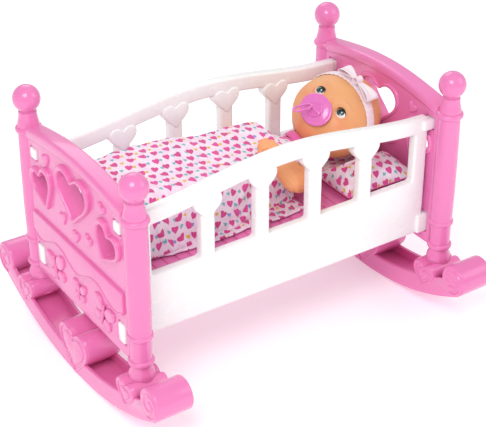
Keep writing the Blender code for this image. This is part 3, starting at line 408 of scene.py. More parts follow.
def heart(centre, width, height, tilt=0.0, grow=0.0):
    """A heart's outline: centre, overall width and height, tilt in degrees."""
    turn = Matrix.Rotation(math.radians(-tilt), 2)
    places = [turn @ Vector((spot.x * (width + 2 * grow), spot.y * (height + 2 * grow)))
              for spot in UNIT_HEART]
    return [(centre[0] + place.x, centre[1] + place.y) for place in places]


def hearts(centre, width, height, tilt=0.0, grow=0.0):
    """The same heart as a function of how far it grows, for rounded edges that never cross."""
    return lambda more: heart(centre, width, height, tilt, grow + more)


def fillet(points, radius, steps=4, sharpest=25):
    """Round an outline's sharp corners."""
    made = []
    count = len(points)
    for index in range(count):
        before, here, after = (Vector(points[(index + step) % count]) for step in (-1, 0, 1))
        first, second = (before - here), (after - here)
        bend = math.pi - first.angle(second)
        if math.degrees(bend) < sharpest:
            made.append(tuple(here))
            continue
        reach = min(radius * math.tan(bend / 2), first.length * 0.45, second.length * 0.45)
        start, end = here + first.normalized() * reach, here + second.normalized() * reach
        for step in range(steps + 1):
            t = step / steps
            made.append(tuple((1 - t) ** 2 * start + 2 * t * (1 - t) * here + t ** 2 * end))
    return made


def rectangle(across, up):
    return [(across[0], up[0]), (across[1], up[0]), (across[1], up[1]), (across[0], up[1])]


def in_metres(rows):
    """Points that are listed in millimetres."""
    return [tuple(value * MM for value in row) for row in rows]


def span(low, high, count):
    return [low + (high - low) * index / count for index in range(count + 1)]


def full_turn(count):
    """Angles evenly spaced round a circle, without the last one, which is the first again."""
    return span(0, 2 * math.pi * (count - 1) / count, count - 1)


def show(piece, body, material, slot, *nodes):
    """Give a piece its material and its body, and hide the CAD nodes that it stands for."""
    piece.data.materials.clear()
    piece.data.materials.append(material)
    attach(piece, body)
    if nodes:
        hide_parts(*nodes)
    return piece


# ---------------------------------------------------------------- materials

class Nodes:
    """Short calls for building a material's node tree."""

    def __init__(self, name):
        self.material = bpy.data.materials.new(name)
        self.material.use_nodes = True
        self.tree = self.material.node_tree
        self.shader = self.tree.nodes["Principled BSDF"]

    def node(self, kind, **settings):
        made = self.tree.nodes.new(kind)
        for key, value in settings.items():
            setattr(made, key, value)
        return made

    def wire(self, source, target):
        self.tree.links.new(source, target)

    def put(self, target, value):
        if isinstance(value, bpy.types.NodeSocket):
            self.wire(value, target)
        else:
            target.default_value = value

    def set(self, **values):
        """Constants on the shader's own sockets."""
        for key, value in values.items():
            self.shader.inputs[key.replace("_", " ").title()].default_value = value

    def math(self, operation, first, second=0.0, third=None):
        made = self.node("ShaderNodeMath", operation=operation)
        self.put(made.inputs[0], first)
        self.put(made.inputs[1], second)
        if third is not None:
            self.put(made.inputs[2], third)
        return made.outputs[0]

    def coordinates(self):
        return self.node("ShaderNodeTexCoord").outputs["Object"]

    def noise(self, scale, detail=2.0, distortion=0.0):
        made = self.node("ShaderNodeTexNoise")
        made.inputs["Scale"].default_value = scale
        made.inputs["Detail"].default_value = detail
        made.inputs["Distortion"].default_value = distortion
        self.wire(self.coordinates(), made.inputs["Vector"])
        return made.outputs["Fac"]

    def between(self, value, low, high, to_low=0.0, to_high=1.0):
        made = self.node("ShaderNodeMapRange", interpolation_type="SMOOTHSTEP")
        for socket, number in zip(made.inputs[1:5], (low, high, to_low, to_high)):
            socket.default_value = number
        self.put(made.inputs[0], value)
        return made.outputs[0]

    def mix(self, factor, first, second):
        made = self.node("ShaderNodeMix", data_type="RGBA")
        colours = [socket for socket in made.inputs if socket.type == "RGBA"]
        self.put(made.inputs[0], factor)
        for socket, value in zip(colours, (first, second)):
            self.put(socket, (*value, 1) if isinstance(value, tuple) else value)
        return [socket for socket in made.outputs if socket.type == "RGBA"][0]

    def colour(self, value):
        self.put(self.shader.inputs["Base Color"], value)

    def rough(self, value, low, high, least, most):
        """Roughness that follows a texture between two of its values."""
        self.put(self.shader.inputs["Roughness"], self.between(value, low, high, least, most))

    def bump(self, height, strength, distance):
        made = self.node("ShaderNodeBump")
        made.inputs["Strength"].default_value = strength
        made.inputs["Distance"].default_value = distance
        self.wire(height, made.inputs["Height"])
        self.wire(made.outputs[0], self.shader.inputs["Normal"])

    def weave(self, place, way, scale):
        """Even threads across one direction of the flat map."""
        made = self.node("ShaderNodeTexWave", wave_type="BANDS", bands_direction=way)
        made.inputs["Scale"].default_value = scale
        self.wire(place, made.inputs["Vector"])
        return made.outputs["Fac"]

    def attribute(self, name):
        return self.node("ShaderNodeAttribute", attribute_name=name).outputs["Fac"]


def plastic(name, colour, deeper, roughness=0.22, coat=0.35, inside=0.0, grain=0.06):
    """Glossy moulded plastic: faint clouding, an eggshell surface and fine handling marks."""
    nodes = Nodes(name)
    cloud = nodes.between(nodes.noise(5, 2), 0.3, 0.75)
    nodes.colour(nodes.mix(cloud, colour, deeper))
    marks = nodes.noise(60, 4, distortion=0.4)
    nodes.rough(marks, 0.2, 0.9, roughness, roughness + 0.06)
    nodes.bump(nodes.noise(22, 1), grain, 0.0004)
    nodes.set(coat_weight=coat, coat_roughness=0.08)
    if inside:
        nodes.set(subsurface_weight=inside, subsurface_radius=(0.004, 0.0015, 0.0025),
                  subsurface_scale=1.0)
    return nodes.material


def metal(name, colour, roughness):
    nodes = Nodes(name)
    scratch = nodes.noise(600, 5, distortion=1.5)
    nodes.colour(nodes.mix(nodes.between(scratch, 0.3, 0.7), colour,
                           tuple(value * 0.8 for value in colour)))
    nodes.rough(scratch, 0.3, 0.7, roughness, roughness + 0.15)
    nodes.set(metallic=1.0)
    nodes.bump(scratch, 0.1, 0.0002)
    return nodes.material


PINK = plastic("pink_plastic", (0.86, 0.225, 0.51), (0.82, 0.19, 0.47), 0.2, 0.4, 0.08)
WHITE = plastic("white_plastic", (0.93, 0.93, 0.925), (0.915, 0.915, 0.912), 0.24, 0.3, 0.05)
STEEL = metal("screw_steel", (0.62, 0.62, 0.64), 0.3)


def vinyl(name, face=False):
    """Soft peach vinyl with a pink-red depth; the face adds red paint on the cheeks, nose, lips and
    round the eyes, painted shade under the chin, and dark painted shade above the eyes and in the
    nostrils.
    """
    nodes = Nodes(name)
    patch = nodes.between(nodes.noise(22, 3), 0.3, 0.75)
    tone = nodes.mix(patch, (0.93, 0.425, 0.19), (0.91, 0.39, 0.17))
    if face:
        # Red paint on the cheeks, nose, lips and round the eyes, and painted shade under the chin.
        blush_and_shade = nodes.math("MULTIPLY", nodes.attribute("rosy_and_shade"), 0.55)
        tone = nodes.mix(blush_and_shade, tone, (0.88, 0.22, 0.12))
        # Painted shade: dark arcs above the eyes and dots in the nostrils.
        tone = nodes.mix(nodes.attribute("brow_and_nostril_shade"), tone, (0.20, 0.07, 0.035))
    nodes.colour(tone)
    pores = nodes.noise(420, 2)
    nodes.rough(pores, 0.3, 0.7, 0.42, 0.52)
    nodes.bump(pores, 0.05, 0.0003)
    nodes.set(subsurface_weight=0.28, subsurface_radius=(0.012, 0.003, 0.0015), subsurface_scale=1.0)
    return nodes.material


def eye_gloss():
    """A painted eye: pupil, streaked teal iris with a dark rim, white, and a painted highlight."""
    nodes = Nodes("eye_gloss")
    ring = nodes.attribute("ring")
    streak = nodes.noise(900, 2)
    iris = nodes.mix(streak, (0.004, 0.05, 0.065), (0.01, 0.13, 0.15))
    iris = nodes.mix(nodes.between(ring, 0.42, 0.56), iris, (0.001, 0.008, 0.011))
    tone = nodes.mix(nodes.between(ring, 0.27, 0.31), (0.002, 0.002, 0.003), iris)
    tone = nodes.mix(nodes.between(ring, 0.585, 0.62), tone, (0.88, 0.88, 0.90))
    tone = nodes.mix(nodes.between(nodes.attribute("spark"), 0.12, 0.09), tone, (0.95, 0.95, 0.95))
    nodes.colour(tone)
    nodes.set(roughness=0.06, coat_weight=0.8, coat_roughness=0.03)
    return nodes.material


def satin(name, colour, deeper):
    """Woven ribbon: fine cross threads and a soft sheen."""
    nodes = Nodes(name)
    place = nodes.node("ShaderNodeUVMap", uv_map="flat").outputs[0]
    threads = nodes.math("MULTIPLY", *(nodes.weave(place, way, 900) for way in "XY"))
    nodes.colour(nodes.mix(nodes.between(nodes.noise(70, 3), 0.3, 0.7), colour, deeper))
    nodes.rough(threads, 0, 1, 0.38, 0.5)
    nodes.bump(threads, 0.12, 0.0002)
    nodes.set(sheen_weight=0.3, sheen_roughness=0.4)
    return nodes.material


def wrapped_battery():
    nodes = Nodes("battery_wrap")
    along = nodes.node("ShaderNodeSeparateXYZ")
    nodes.wire(nodes.coordinates(), along.inputs[0])
    band = nodes.between(along.outputs["X"], 0.042, 0.0425)
    nodes.colour(nodes.mix(band, (0.03, 0.16, 0.08), (0.55, 0.33, 0.08)))
    nodes.rough(nodes.noise(300, 3), 0.3, 0.7, 0.25, 0.4)
    nodes.set(metallic=0.4)
    return nodes.material


def circuit():
    nodes = Nodes("board")
    tracks = nodes.node("ShaderNodeTexBrick")
    tracks.inputs["Scale"].default_value = 90
    tracks.inputs["Color1"].default_value = (0.01, 0.12, 0.04, 1)
    tracks.inputs["Color2"].default_value = (0.015, 0.15, 0.05, 1)
    tracks.inputs["Mortar"].default_value = (0.05, 0.30, 0.12, 1)
    nodes.wire(nodes.coordinates(), tracks.inputs["Vector"])
    nodes.colour(tracks.outputs["Color"])
    nodes.rough(tracks.outputs["Fac"], 0, 1, 0.5, 0.3)
    nodes.bump(tracks.outputs["Fac"], 0.3, 0.0003)
    return nodes.material


def print_layer(nodes, place, size, offset, seed):
    """One scatter of little hearts: a mask, and a random number for each heart."""
    pitch_x, pitch_y = PRINT_PITCH
    parts = nodes.node("ShaderNodeSeparateXYZ")
    nodes.wire(place, parts.inputs[0])
    y = nodes.math("DIVIDE", parts.outputs["Y"], pitch_y)
    row = nodes.math("FLOOR", y)
    stagger = nodes.math("MULTIPLY_ADD", row, 0.5, offset)
    x = nodes.math("ADD", nodes.math("DIVIDE", parts.outputs["X"], pitch_x), stagger)
    column = nodes.math("FLOOR", x)
    cell = nodes.node("ShaderNodeCombineXYZ")
    nodes.wire(column, cell.inputs[0])
    nodes.wire(row, cell.inputs[1])
    cell.inputs[2].default_value = seed
    chance = nodes.node("ShaderNodeTexWhiteNoise", noise_dimensions="3D")
    nodes.wire(cell.outputs[0], chance.inputs["Vector"])
    rolls = nodes.node("ShaderNodeSeparateColor")
    nodes.wire(chance.outputs["Color"], rolls.inputs[0])
    spot = nodes.node("ShaderNodeCombineXYZ")
    for socket, value, pitch, roll in ((0, x, pitch_x, "Red"), (1, y, pitch_y, "Green")):
        middle = nodes.math("SUBTRACT", nodes.math("FRACT", value), 0.5)
        jitter = nodes.math("MULTIPLY", nodes.math("SUBTRACT", rolls.outputs[roll], 0.5), 0.26)
        nodes.wire(nodes.math("MULTIPLY", nodes.math("ADD", middle, jitter), pitch / size),
                   spot.inputs[socket])
    turned_spot = nodes.node("ShaderNodeVectorRotate", rotation_type="Z_AXIS")
    nodes.wire(spot.outputs[0], turned_spot.inputs["Vector"])
    nodes.wire(nodes.math("MULTIPLY", nodes.math("SUBTRACT", rolls.outputs["Blue"], 0.5), 1.1),
               turned_spot.inputs["Angle"])
    flat = nodes.node("ShaderNodeSeparateXYZ")
    nodes.wire(turned_spot.outputs[0], flat.inputs[0])
    side = nodes.math("ABSOLUTE", flat.outputs["X"])
    lobe = nodes.math("MULTIPLY", nodes.math("POWER", side, 0.62), 0.72)
    height = nodes.math("SUBTRACT", flat.outputs["Y"], lobe)
    reach = nodes.math("ADD", *(nodes.math("MULTIPLY", value, value) for value in (side, height)))
    return nodes.between(reach, 1.06, 0.94), chance.outputs["Value"]


def heart_print(name, under=False):
    """Soft printed cotton: pink hearts with small teal and yellow ones between them."""
    nodes = Nodes(name)
    place = nodes.node("ShaderNodeUVMap", uv_map="flat").outputs[0]
    cloud = nodes.between(nodes.noise(90, 3), 0.35, 0.65)
    ground = nodes.mix(cloud, (0.93, 0.80, 0.90), (0.90, 0.70, 0.84))
    big, roll = print_layer(nodes, place, 4.4 * MM, 0.0, 1.0)
    pink = nodes.mix(nodes.between(roll, 0.2, 0.8), (0.76, 0.07, 0.33), (0.68, 0.055, 0.26))
    small, roll = print_layer(nodes, place, 2.3 * MM, 0.5, 7.0)
    accent = nodes.mix(nodes.between(roll, 0.60, 0.61), (0.19, 0.50, 0.56), (0.80, 0.50, 0.06))
    accent = nodes.mix(nodes.between(roll, 0.90, 0.91), accent, (0.25, 0.33, 0.68))
    tone = nodes.mix(small, ground, accent)
    tone = nodes.mix(big, tone, pink)
    if under:
        tone = nodes.mix(nodes.attribute("under"), tone, (0.80, 0.10, 0.38))
    nodes.colour(tone)
    weave = nodes.math("MULTIPLY", *(nodes.weave(place, way, 1250) for way in "XY"))
    slub = nodes.noise(260, 3)
    nodes.rough(slub, 0.3, 0.7, 0.78, 0.9)
    nodes.bump(nodes.math("MULTIPLY_ADD", slub, 1.4, weave), 0.25, 0.0003)
    nodes.set(sheen_weight=0.25, sheen_roughness=0.5)
    return nodes.material


def trim_cloth():
    """The pink binding on the dress and the pillow: ribbed knit."""
    nodes = Nodes("pink_trim")
    knit = nodes.noise(700, 3)
    nodes.colour(nodes.mix(nodes.between(knit, 0.3, 0.7), (0.83, 0.16, 0.43), (0.74, 0.11, 0.36)))
    nodes.rough(knit, 0.3, 0.7, 0.75, 0.9)
    nodes.bump(knit, 0.4, 0.0003)
    nodes.set(sheen_weight=0.3)
    return nodes.material


SKIN = vinyl("skin_vinyl")
PRINT = heart_print("heart_print")
PILLOW_PRINT = heart_print("pillow_print", under=True)
TRIM = trim_cloth()
FACE = vinyl("face_vinyl", face=True)
EYE_GLOSS = eye_gloss()
LASH = plastic("lash_paint", (0.018, 0.009, 0.007), (0.03, 0.015, 0.01), 0.4, 0.1)
SATIN = satin("ribbon_satin", (0.90, 0.83, 0.86), (0.90, 0.74, 0.80))
PACIFIER = plastic("pacifier_plastic", (0.83, 0.22, 0.60), (0.80, 0.18, 0.55), 0.15, 0.5, 0.2)
TEAT = plastic("teat_rubber", (0.85, 0.62, 0.40), (0.80, 0.55, 0.34), 0.3, 0.2, 0.3)
BODY_PLASTIC = plastic("inner_plastic", (0.80, 0.80, 0.79), (0.74, 0.74, 0.73), 0.4, 0.05)
BLACK = plastic("black_plastic", (0.02, 0.02, 0.022), (0.03, 0.03, 0.03), 0.4, 0.1)
BUTTON = plastic("button_plastic", (0.84, 0.14, 0.36), (0.78, 0.11, 0.31), 0.3, 0.2)
BATTERY = wrapped_battery()
BOARD = circuit()


# ---------------------------------------------------------------- cradle

def bead(profile, middle, proud, half):
    """Add a rounded ring to a profile that runs from the top down."""
    base = profile[-1][0]
    for index in range(9):
        angle = math.pi * index / 8
        profile.append((base + proud * math.sin(angle), middle + half * math.cos(angle)))


def make_post(name, place):
    shaft = POST_RADIUS
    profile = [(0, POST_HEIGHT), (9.6 * MM, POST_HEIGHT), (11 * MM, POST_HEIGHT - 1.2 * MM)]
    profile += [(11 * MM + 2.3 * MM * t ** 1.6, POST_HEIGHT - (3 + 13 * t) * MM)
                for t in span(0, 1, 6)]
    profile.append((shaft, 211 * MM))
    bead(profile, 205.5 * MM, 3 * MM, 3.6 * MM)
    profile += [(shaft, 198 * MM), (shaft + 0.5 * MM, 150 * MM), (shaft + 0.6 * MM, 100 * MM),
                (shaft, 62 * MM)]
    bead(profile, 55 * MM, 1.8 * MM, 3.2 * MM)
    profile += [(12.9 * MM, 49 * MM), (12.9 * MM, 27 * MM)]
    bead(profile, 20.5 * MM, 2.6 * MM, 3.6 * MM)
    profile += [(12.7 * MM, 14.5 * MM), (12.9 * MM, 11 * MM), (14.4 * MM, 8 * MM),
                (15.2 * MM, 5 * MM), (15.2 * MM, 0), (0, 0)]
    return turned(name, profile, place)


def make_finial(name, place):
    centre = POST_HEIGHT + FINIAL_RADIUS - 1.2 * MM
    reach = math.pi - math.asin(9.5 * MM / FINIAL_RADIUS)
    profile = [(FINIAL_RADIUS * math.sin(a), centre + FINIAL_RADIUS * math.cos(a))
               for a in span(0, reach, 22)]
    profile += [(9.3 * MM, POST_HEIGHT + 1.2 * MM), (9.6 * MM, POST_HEIGHT + 0.3 * MM),
                (5 * MM, POST_HEIGHT + 0.3 * MM), (5 * MM, POST_HEIGHT - 12 * MM),
                (0, POST_HEIGHT - 12 * MM)]
    return turned(name, profile, place)


def arch_z(y):
    return ARCH_END_Z + ARCH_RISE * math.cos(math.pi * y / ARCH_SPAN)


def wave_z(y):
    return VALANCE_Z - VALANCE_WAVE * math.cos(2 * math.pi * y / VALANCE_PITCH)


def butterfly(name, y, z, size, face, tilt):
    """Four wings and a body, moulded on the panel's face."""
    turn = Matrix.Rotation(math.radians(tilt), 2)
    wings = []
    lobes = ((0.30, 0.22, 0.27, 0.20, 35), (-0.30, 0.22, 0.27, 0.20, -35),
             (0.24, -0.20, 0.19, 0.15, -40), (-0.24, -0.20, 0.19, 0.15, 40))
    for index, (across, up, long, wide, lean) in enumerate(lobes):
        spin = Matrix.Rotation(math.radians(lean), 2)
        loop = []
        for angle in full_turn(32):
            spot = spin @ Vector((long * math.cos(angle), wide * math.sin(angle)))
            spot = turn @ ((spot + Vector((across, up))) * size)
            loop.append((y + spot.x, z + spot.y))
        wings.append(plate(f"{name}_{index}", [loop], 3.6 * MM, 2.2 * MM, face))
    body = [turn @ Vector((0, size * t)) for t in (-0.36, -0.2, 0, 0.2, 0.36)]
    wings.append(tube(name + "_body", [(face + 2.6 * MM, y + spot.x, z + spot.y) for spot in body],
                      [0.8 * MM, 2 * MM, 2.4 * MM, 2 * MM, 0.9 * MM], 12))
    return wings


def make_panel():
    """The fine end panel, with its outer face looking along +X."""
    steps = span(-PANEL_HALF_WIDTH, PANEL_HALF_WIDTH, 40)
    outline = [(-PANEL_HALF_WIDTH, PANEL_BOTTOM_Z), (PANEL_HALF_WIDTH, PANEL_BOTTOM_Z)]
    outline += [(y, arch_z(y) - 6 * MM) for y in reversed(steps)]
    holes = [heart((y, z), w, h, tilt) for y, z, w, h, tilt in HEARTS]
    for side in (-1, 1):
        for low, high in TAB_HEIGHTS:
            across = sorted(side * value for value in (TAB_Y[0] - 1.2 * MM, TAB_Y[1] + 1.2 * MM))
            holes.append(fillet(rectangle(across, (low - 1.5 * MM, high + 1.5 * MM)), 2.5 * MM))
    parts = [plate("plate", [outline] + holes, PANEL_HALF, 1.2 * MM, steps=2)]
    band = [(y, arch_z(y) - 14 * MM) for y in steps] + [(y, arch_z(y)) for y in reversed(steps)]
    parts.append(plate("cap", [band], 11.5 * MM, 4 * MM, steps=4))
    waves = [(y, wave_z(y)) for y in span(-VALANCE_HALF, VALANCE_HALF, 72)]
    top = [(VALANCE_HALF, 172 * MM), (-VALANCE_HALF, 172 * MM)]
    parts.append(plate("valance", [waves + top], 5 * MM, 1.6 * MM, 7.3 * MM))
    bead_line = [(12 * MM, y, z + 1.6 * MM) for y, z in waves]
    parts.append(tube("valance_bead", bead_line, 1.5 * MM))
    for index, (y, z, w, h, tilt) in enumerate(HEARTS):
        rim = [hearts((y, z), w, h, tilt, 6.2 * MM), hearts((y, z), w, h, tilt, -0.4 * MM)]
        parts.append(plate(f"rim_{index}", rim, 12.6 * MM, 3 * MM, 1.3 * MM, steps=5))
    for index, (y, z) in enumerate(SMALL_HEARTS):
        tilt = 20 if y > 0 else -20 if y < 0 else 0
        shape = [hearts((y * MM, z * MM), 17 * MM, 15.5 * MM, tilt)]
        parts.append(plate(f"small_heart_{index}", shape, 11.4 * MM, 2.6 * MM, 0, steps=4))
    for side in (-1, 1):
        parts += butterfly(f"butterfly_{side + 1}", side * 58 * MM, 115 * MM, 44 * MM, 8 * MM,
                           -14 * side)
    parts += butterfly("butterfly_middle", 0, 113 * MM, 30 * MM, 8 * MM, 0)
    parts.append(block("ledge", (-15.5 * MM, -4 * MM), (-84 * MM, 84 * MM), (149.6 * MM, 158.6 * MM),
                       1.5 * MM))
    return fused("panel", parts)


def rocker_arc(radius):
    reach = math.asin(ROCKER_ARC_Y / ROCKER_RADIUS)
    return [(radius * math.sin(a), ROCKER_RADIUS - radius * math.cos(a))
            for a in span(-reach, reach, 64)]


def spiral(place, side, outside, x):
    """A raised curl on a scroll's end face, from the rim in towards the middle."""
    points = []
    for t in span(0, 1, 44):
        angle = math.radians(-100 + 560 * t)
        radius = (outside - 2.2 * MM) * (1 - 0.78 * t)
        across, up = side * radius * math.cos(angle), radius * math.sin(angle)
        points.append((x, place[0] + across, place[1] + up))
    radii = [2.1 * MM * (1 - 0.25 * t) for t in span(0, 1, 44)]
    return tube("curl", points, radii, 10)


def heart_block(name, centre, width, height, half):
    """A thick heart whose faces carry a rounded rim."""
    whole, outer, inner, middle = (hearts(centre, width, height, grow=-inset * MM)
                                   for inset in (0, 0.6, 5.2, 9.5))
    return [plate(name, [whole], half - 1 * MM, 3 * MM, steps=4),
            plate(name + "_rim", [outer, inner], half + 0.5 * MM, 1.9 * MM, steps=3),
            plate(name + "_inner", [middle], half + 0.2 * MM, 2 * MM, steps=3)]


def make_rocker():
    """One rocker, about the plane x = 0."""
    outer, inner = rocker_arc(ROCKER_RADIUS), rocker_arc(ROCKER_RADIUS - ROCKER_DEPTH)
    floor = rocker_arc(ROCKER_RADIUS - 11 * MM)
    parts = [plate("runner", [outer + floor[::-1]], ROCKER_HALF_WIDTH, 1.5 * MM)]
    for side in (-1, 1):
        middle = side * (ROCKER_HALF_WIDTH - 2.4 * MM)
        parts.append(plate("lip", [outer + inner[::-1]], 2.4 * MM, 1.4 * MM, middle, steps=4))
    parts += heart_block("centre_heart", (0, 32 * MM), 70 * MM, 63 * MM, 24 * MM)
    reach = math.asin(ROCKER_ARC_Y / ROCKER_RADIUS)
    scroll_centre = ROCKER_RADIUS - SCROLL_RADIUS - 0.4 * MM
    for side in (-1, 1):
        middle = side * POST_Y
        parts += heart_block("post_heart", (middle, 49 * MM), 40 * MM, 36 * MM, 24 * MM)
        y, z = side * scroll_centre * math.sin(reach), ROCKER_RADIUS - scroll_centre * math.cos(reach)
        circle = [(y + SCROLL_RADIUS * math.cos(a), z + SCROLL_RADIUS * math.sin(a))
                  for a in full_turn(48)]
        parts.append(plate("scroll", [circle], ROCKER_HALF_WIDTH + 0.6 * MM, 3 * MM, steps=4))
        for face in (-1, 1):
            parts.append(spiral((y, z), side, SCROLL_RADIUS, face * ROCKER_HALF_WIDTH))
        top = POST_FOOT_Z - 0.35 * MM
        pad = [(0, top), (15.6 * MM, top), (15.6 * MM, 52 * MM), (17 * MM, 46 * MM), (0, 46 * MM)]
        parts.append(turned("pad", pad, (0, middle, 0), 40))
    return fused("rocker", parts)


def rail_top(x):
    return RAIL_END_Z + RAIL_WAVE * (1 + math.cos(math.pi * x / RAIL_HALF_LENGTH)) / 2


def make_rail(side):
    outline = [(-RAIL_HALF_LENGTH, RAIL_BOTTOM_Z), (RAIL_HALF_LENGTH, RAIL_BOTTOM_Z)]
    outline += [(x, rail_top(x)) for x in span(RAIL_HALF_LENGTH, -RAIL_HALF_LENGTH, 48)]
    openings = []
    for left, right in RAIL_OPENINGS:
        top = [(x, rail_top(x) - RAIL_BAR) for x in span(right * MM, left * MM, 10)]
        corners = [(left * MM, RAIL_PANEL_TOP_Z), (right * MM, RAIL_PANEL_TOP_Z)] + top
        openings.append(fillet(corners, 4 * MM))
    middle = side * RAIL_Y
    parts = [plate("rail", [fillet(outline, 5 * MM)] + openings, RAIL_HALF, 3.2 * MM, middle, "Y", 4)]
    for x in BALUSTER_X:
        top = rail_top(x) - RAIL_BAR - 9 * MM
        parts.append(plate("boss", [hearts((x, top), 39 * MM, 34 * MM)], RAIL_HALF + 1.5 * MM,
                           3.4 * MM, middle, "Y", 4))
    near, far = sorted(side * value for value in TAB_Y)
    for end in (-1, 1):
        inner, outer = sorted((end * 197 * MM, end * (END_X + PANEL_HALF + 1.6 * MM)))
        for low, high in TAB_HEIGHTS:
            parts.append(block("tab", (inner, outer), (near, far), (low, high), 2.2 * MM, 3))
    return fused("rail", parts)


def make_bed_floor():
    base = block("bed", (-BED_HALF_LENGTH, BED_HALF_LENGTH), (-BED_HALF_WIDTH, BED_HALF_WIDTH),
                 (159 * MM, 164.9 * MM), 1 * MM)
    parts = [base]
    count = int(2 * (BED_HALF_LENGTH - 2 * MM) / SLAT_PITCH)
    for index in range(count):
        middle = (index - (count - 1) / 2) * SLAT_PITCH
        parts.append(block("slat", (middle - 7.1 * MM, middle + 7.1 * MM),
                           (-BED_HALF_WIDTH + 2 * MM, BED_HALF_WIDTH - 2 * MM),
                           (162 * MM, BED_TOP_Z), 0.9 * MM))
    return fused("bed_floor_fine", parts)


def make_cradle():
    panel, rocker = smooth(make_panel()), smooth(make_rocker())
    for end, end_name in ((-1, "foot"), (1, "head")):
        place = Matrix.Translation((end * END_X, 0, 0))
        turn = Matrix.Rotation(math.pi if end < 0 else 0, 4, "Z")
        fine = link(f"{end_name}_panel_fine", panel.data.copy(), place @ turn)
        show_pink(fine, f"{end_name}_panel")
        fine = link(f"{end_name}_rocker_fine", rocker.data.copy(), place)
        show_pink(fine, f"{end_name}_rocker")
        for side, side_name in ((-1, "near"), (1, "far")):
            corner = f"{end_name}_{side_name}"
            foot = (end * END_X, side * POST_Y, POST_FOOT_Z)
            show_pink(smooth(make_post(f"post_{corner}_fine", foot)), f"post_{corner}")
            show_pink(smooth(make_finial(f"finial_{corner}_fine", foot), 50), f"finial_{corner}")
            paint(f"rocker_screw_{corner}", STEEL)
    bpy.data.objects.remove(panel)
    bpy.data.objects.remove(rocker)
    for side, side_name in ((-1, "near"), (1, "far")):
        rail = smooth(make_rail(side))
        rail.name = f"side_rail_{side_name}_fine"
        show(rail, "cradle", WHITE, "white_plastic", f"side_rail_{side_name}")
    show_pink(smooth(make_bed_floor()), "bed_floor")


def paint(node, material):
    """A CAD node that stays gets its material."""
    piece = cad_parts[node]
    piece.data.materials.clear()
    piece.data.materials.append(material)


def show_pink(piece, node):
    show(piece, "cradle", PINK, "pink_plastic", node)


# ---------------------------------------------------------------- stage

def make_stage():
    camera = bpy.data.cameras.new("camera")
    camera.lens = CAMERA_LENS
    camera.sensor_width = 36
    camera.clip_start = 0.05
    eye = link("camera", camera)
    eye.location = CAMERA_PLACE
    eye.rotation_euler = Euler((math.pi / 2 - CAMERA_DROP, 0, CAMERA_AZIMUTH))
    bpy.context.scene.camera = eye

    floor_nodes = Nodes("floor")
    tone = floor_nodes.between(floor_nodes.noise(3, 2), 0.3, 0.7)
    floor_nodes.colour(floor_nodes.mix(tone, (0.93, 0.93, 0.935), (0.91, 0.91, 0.915)))
    floor_nodes.set(roughness=0.9, emission_color=(1, 1, 1, 1), emission_strength=0.3)
    bm = bmesh.new()
    bmesh.ops.create_grid(bm, x_segments=1, y_segments=1, size=12)
    floor = link("floor", to_mesh(bm, "floor"))
    floor.data.transform(Matrix.Translation((0, 0, -0.0005)))
    floor.data.materials.append(floor_nodes.material)

    bpy.context.scene.view_settings.view_transform = "Standard"
    world = bpy.data.worlds.new("studio")
    bpy.context.scene.world = world
    world.use_nodes = True
    sky = world.node_tree.nodes["Background"]
    sky.inputs["Color"].default_value = (1, 1, 1, 1)
    sky.inputs["Strength"].default_value = 0.62
    soft_light("key", (-1.0, -0.9, 1.7), 1.0, 17)
    soft_light("fill", (1.4, -1.3, 1.3), 1.4, 7)
    soft_light("back", (0.6, 1.6, 1.6), 1.4, 7)


def soft_light(name, place, size, power):
    light = bpy.data.lights.new(name, "AREA")
    light.shape = "DISK"
    light.size = size
    light.energy = power
    lamp = link(name, light)
    lamp.location = place
    aim = Vector((0, 0, 0.2)) - Vector(place)
    lamp.rotation_euler = aim.to_track_quat("-Z", "Y").to_euler()


# ---------------------------------------------------------------- doll's head

def head_matrix():
    """Local X is the doll's left, Y its crown and Z the way its face looks."""
    turn = (Matrix.Rotation(HEAD_TURN, 4, "X") @ Matrix.Rotation(-math.pi / 2, 4, "Z")
            @ Matrix.Rotation(HEAD_PITCH, 4, "X") @ Matrix.Rotation(HEAD_ROLL, 4, "Z"))
    return Matrix.Translation(HEAD_CENTRE) @ turn


def bell(place, centre, reach):
    """A smooth bump of height 1 at the centre; place, centre and reach are in millimetres."""
    return math.exp(-sum(((a - b) / c) ** 2 for a, b, c in zip(place, centre, reach)))


def bells(rows, place):
    """The sum of some bumps, each a height, a centre and a reach."""
    return sum(height * bell(place, centre, reach) for height, centre, reach in rows)


def step_up(value, low, high):
    t = max(0.0, min(1.0, (value - low) / (high - low)))
    return t * t * (3 - 2 * t)


def eye_reach(side, y):
    """How far a place is from the nearer eye, where 1 is the edge of its lids."""
    return math.hypot((side - EYE.x / MM) / EYE_OVAL[0], (y - EYE.y / MM) / EYE_OVAL[1])


def face_relief(x, y, z):
    """How far the skin stands out from the plain head, in millimetres, at a place on it."""
    side = abs(x)
    if z <= -20:
        return 0.0
    front = step_up(z, -5, 14)
    rise = bells(FACE_BUMPS, (side, y, z))
    reach = eye_reach(side, y)
    rise += 1.1 * math.exp(-((reach - 1.22) / 0.2) ** 2)
    rise -= 3.6 * (1 - step_up(reach, 0.88, 1.1))
    mouth = math.hypot(side, (y - MOUTH.y / MM) * 1.05)
    rise += 2.0 * math.exp(-((mouth - 8.6) / 2.2) ** 2) * step_up(z, 20, 30)
    return rise * front


def ear_relief(y, z):
    """The ears, which stand out sideways, in millimetres."""
    across, up = (z + 7) / 7.5, (y + 6) / 11.5
    reach = math.hypot(across, up)
    shell = 1 - step_up(reach, 0.8, 1.12)
    bowl = 1 - step_up(math.hypot((z + 4.5) / 4.0, (y + 4) / 7.2), 0.55, 1.0)
    return shell * 4.8 - bowl * 2.8


